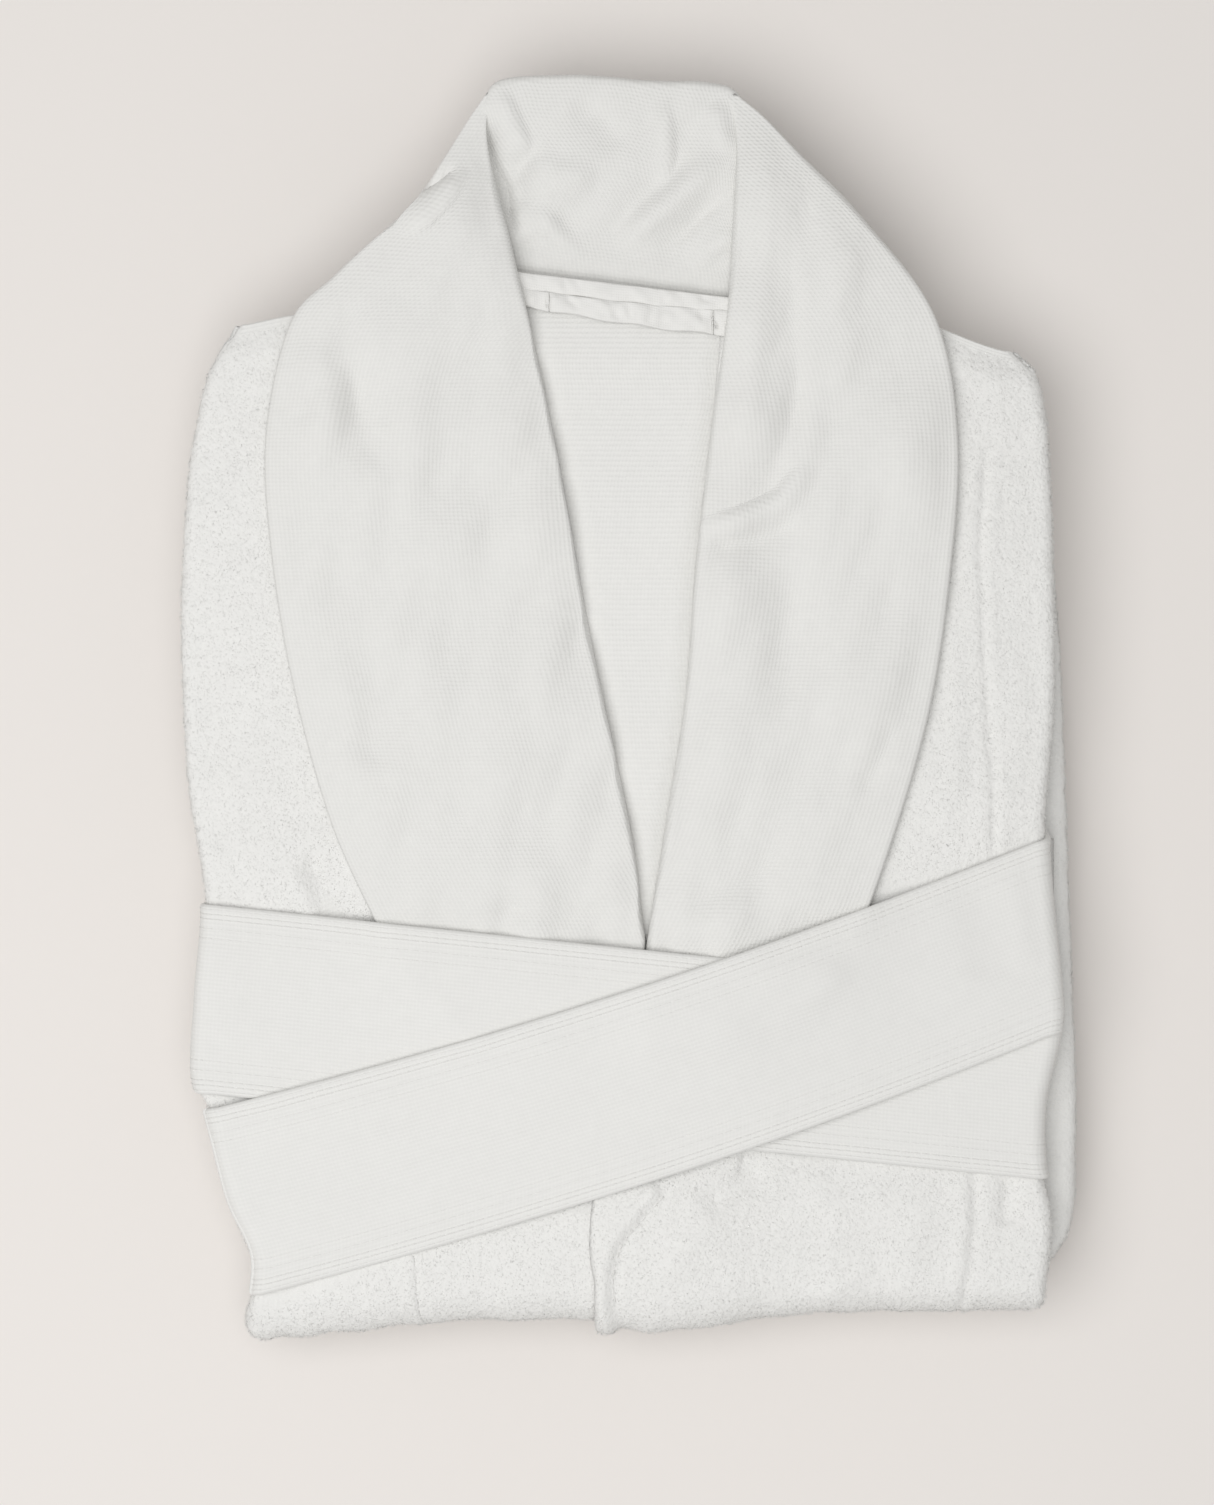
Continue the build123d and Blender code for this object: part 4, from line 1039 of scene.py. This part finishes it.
def stitching(name, lines, length=2.5, gap=0.9, radius=0.26):
    """Rounded thread stitches; a line is its points, the direction out of the cloth, and weights."""
    angle = np.arange(6)[:, None] * math.pi / 3
    swelling = np.array([(-0.5, 0.3), (-0.28, 1.0), (0.28, 1.0), (0.5, 0.3)])[:, :, None, None]
    lengthwise, fat = swelling[:, 0] * length, swelling[:, 1] * radius
    verts, weights = [], []
    for line, outward, weight in lines:
        line = np.array(line, float)
        run = np.concatenate([[0], np.cumsum(np.linalg.norm(np.diff(line, axis=0), axis=1))])
        at = np.arange(length / 2 + 0.05, run[-1] - length / 2, length + gap)

        def on_line(place, values):
            return np.stack([np.interp(place, run, np.asarray(values)[:, k]) for k in range(3)], axis=1)

        direction = unit(on_line(at + length / 2, line) - on_line(at - length / 2, line))
        side = unit(np.cross(direction, on_line(at, outward)))
        up = np.cross(side, direction)
        middle, direction, side, up = (g[:, None, None] for g in (on_line(at, line), direction, side, up))
        stitch = middle + direction * lengthwise + fat * (side * np.cos(angle) + up * np.sin(angle))
        verts.append(stitch.reshape(len(at), -1, 3))
        weights.append(np.repeat(np.interp(at, run, weight), verts[-1].shape[1]))
    WEIGHTS[name] = np.concatenate(weights)
    return add_copies(name, np.vstack(verts), STITCH)


def straight_up(line):
    """A line of stitches that lies on top of the cloth and doesn't bend."""
    return line, np.tile(UP, (len(line), 1)), np.zeros(len(line))


def front_line(kind, places):
    """A line of stitches on a front's outer face, through places (x, y)."""
    x, y = smooth_curve(places, 60).T
    z = run_height(kind, BODICE, x, y) + HALF + RELIEF[kind](x, y, y) + 0.1
    return straight_up(points(x, y, z))


ride(stitching("belt_under_stitching", under_strand.stitch_lines(0.0), 3.4, 0.3, 0.2), "bodice")
bend(stitching("belt_top_stitching", top_strand.stitch_lines(tail_weight), 3.4, 0.3, 0.2),
     "bodice", "belt_tail")
ride(stitching("front_stitching", [
    front_line("right", [(12, -180), (4, -189), (-3.4, -198), (-6.8, -210), (-6, -220)]),
    front_line("left", [(-82.6, -190), (-82.6, -211)]),
]), "bodice")
tack_lines = []
for tack_x in LOOP_ENDS:
    for step in (-1.2, -0.6, 0.0, 0.6, 1.2):
        x, y, z = tack_x + step, loop_middle(tack_x + step), LOOP_Z + 0.95
        ends = [(x - 0.2, y + 3.6, z - 0.2), (x, y, z), (x + 0.2, y - 3.6, z - 0.2)]
        tack_lines.append(straight_up(ends))
ride(stitching("loop_bartacks", tack_lines, 1.5, 0.1, 0.2), "bodice", "hanger_loop_bartacks")

# ---- materials
TURN_PER_UV = 2 * math.pi / 20   # a wave texture's scale for one band per UV unit


def set_inputs(node, **values):
    """Sets a node's inputs by name, with _ for a space."""
    for socket, value in values.items():
        node.inputs[socket.replace("_", " ")].default_value = value


class Cloth:
    """White cotton from nodes alone: a height for the weave or pile, and a mottled colour."""

    def __init__(self, name, color, sheen, depth, mottle):
        self.mat = bpy.data.materials.new(name)
        self.mat.use_nodes = True
        self.nodes = self.mat.node_tree.nodes
        self.color, self.depth, self.mottle = color, depth, mottle
        self.shader = self.nodes["Principled BSDF"]
        set_inputs(self.shader, Roughness=0.92, Specular_IOR_Level=0.12, Sheen_Weight=sheen,
                   Sheen_Roughness=0.6)
        self.place = self.nodes.new("ShaderNodeTexCoord").outputs["Object"]
        uv = self.nodes.new("ShaderNodeUVMap")
        uv.uv_map = "cloth"
        self.uv = uv.outputs["UV"]

    def node(self, kind, links, operation=None, **values):
        """A new node with the given inputs; links are (output, name of its input)."""
        made = self.nodes.new("ShaderNode" + kind)
        if operation:
            made.operation = operation
        set_inputs(made, **values)
        for output, socket in links:
            self.mat.node_tree.links.new(output, made.inputs[socket])
        return made

    def noise(self, scale, detail, rough=0.6):
        made = self.node("TexNoise", [(self.place, "Vector")], Scale=scale, Detail=detail, Roughness=rough)
        return made.outputs["Fac"]

    def bands(self, direction, pitch):
        """Ribs that repeat every pitch mm along u (X) or v (Y) of the cloth."""
        wave = self.node("TexWave", [(self.uv, "Vector")], Scale=100.0 / pitch * TURN_PER_UV,
                         Distortion=0.8, Detail=2.0, Detail_Scale=2.5)
        wave.wave_type = "BANDS"
        wave.bands_direction = direction
        return wave.outputs["Fac"]

    def mix(self, *terms):
        """The sum of (output, factor) terms."""
        total = None
        for output, factor in terms:
            times = self.node("Math", [(output, 0)], "MULTIPLY_ADD")
            times.inputs[1].default_value = factor
            times.inputs[2].default_value = 0.0
            if total is not None:
                self.mat.node_tree.links.new(total, times.inputs[2])
            total = times.outputs[0]
        return total

    def finish(self, height, shade):
        ramp = self.node("MapRange", [(shade, "Value")], From_Min=0.25, From_Max=0.75,
                         To_Min=1 - self.mottle, To_Max=1.0)
        tint = self.node("VectorMath", [(ramp.outputs["Result"], "Scale")], "SCALE")
        tint.inputs[0].default_value = self.color
        bump = self.node("Bump", [(height, "Height")], Strength=1.0, Distance=self.depth * MM)
        for output, socket in ((tint.outputs["Vector"], "Base Color"), (bump.outputs["Normal"], "Normal")):
            self.mat.node_tree.links.new(output, self.shader.inputs[socket])
        return self.mat


def terry_cloth(name, color):
    """Looped pile: rounded cells about 1.3 mm wide over finer fuzz."""
    cloth = Cloth(name, color, 0.25, 0.42, 0.07)
    cells = cloth.node("TexVoronoi", [(cloth.place, "Vector")], Scale=780.0).outputs["Distance"]
    height = cloth.mix((cells, -0.55), (cloth.noise(420.0, 4.0), 1.0))
    shade = cloth.mix((cloth.noise(260.0, 5.0, 0.7), 0.6), (cloth.noise(60.0, 2.0), 0.4))
    return cloth.finish(height, shade)


def woven_cloth(name, color, rib, rib_pitch, cross, cross_pitch, depth, directions="XY"):
    """Flat weave: ribs one way, finer threads across, and a little yarn noise."""
    cloth = Cloth(name, color, 0.12, depth, 0.06)
    ribs, threads = cloth.bands(directions[0], rib_pitch), cloth.bands(directions[1], cross_pitch)
    height = cloth.mix((ribs, rib), (threads, cross), (cloth.noise(900.0, 3.0), 0.8))
    shade = cloth.mix((ribs, 0.25), (threads, 0.15), (cloth.noise(180.0, 6.0, 0.75), 0.6))
    return cloth.finish(height, shade)


TERRY = terry_cloth("white_terry", (0.822, 0.817, 0.797))
RIBBED = woven_cloth("ribbed_cotton", (0.778, 0.773, 0.751), 0.5, 1.55, 0.5, 1.45, 0.17)
WALES = woven_cloth("wale_back", (0.798, 0.793, 0.772), 0.6, 1.9, 0.3, 1.3, 0.19, "YX")
BELT = woven_cloth("belt_cotton", (0.782, 0.777, 0.756), 0.6, 1.5, 0.22, 1.4, 0.13)
TAPE = woven_cloth("twill_tape", (0.80, 0.793, 0.772), 0.5, 0.9, 0.5, 0.9, 0.10)

# material slot, material, and the words in the names of its pieces; the first match holds
FINISH = (
    ("terry", WALES, ("back_bodice",)),
    ("tape", TAPE, ("tape", "stitching", "loop")),
    ("belt_cloth", BELT, ("belt",)),
    ("ribbed", RIBBED, ("collar", "lapel", "cuff")),
    ("terry", TERRY, ("",)),
)
for piece_name in WEIGHTS:
    slot_name, material = next(row[:2] for row in FINISH if any(word in piece_name for word in row[2]))
    bpy.data.objects[piece_name].data.materials.append(material)

# ---- stage, light and camera
FLOOR_REACH = 6000.0
FLOOR_Z = -1.0
corners = [(-1, -1), (1, -1), (1, 1), (-1, 1)]
floor = add_mesh("floor", [(x * FLOOR_REACH, y * FLOOR_REACH, FLOOR_Z) for x, y in corners], [(0, 1, 2, 3)])
paint = bpy.data.materials.new("pale_floor")
paint.use_nodes = True
set_inputs(paint.node_tree.nodes["Principled BSDF"], Base_Color=(0.79, 0.755, 0.725, 1), Roughness=0.9)
floor.data.materials.append(paint)

world = bpy.data.worlds.new("studio")
bpy.context.scene.world = world
world.use_nodes = True
set_inputs(world.node_tree.nodes["Background"], Color=(1.0, 0.995, 0.985, 1), Strength=0.44)

light = bpy.data.lights.new("key", "AREA")
light.shape = "DISK"
light.energy = 24.5
light.size = 1.9
key = add_object("key", light, (-0.42, -0.26, 1.75))
key.rotation_euler = (-Vector(key.location)).to_track_quat("-Z", "Y").to_euler()

lens = bpy.data.cameras.new("camera")
lens.lens = 97.5
camera = add_object("camera", lens, (-0.009, -0.016, 1.555))
bpy.context.scene.camera = camera
bpy.context.scene.view_settings.view_transform = "Standard"
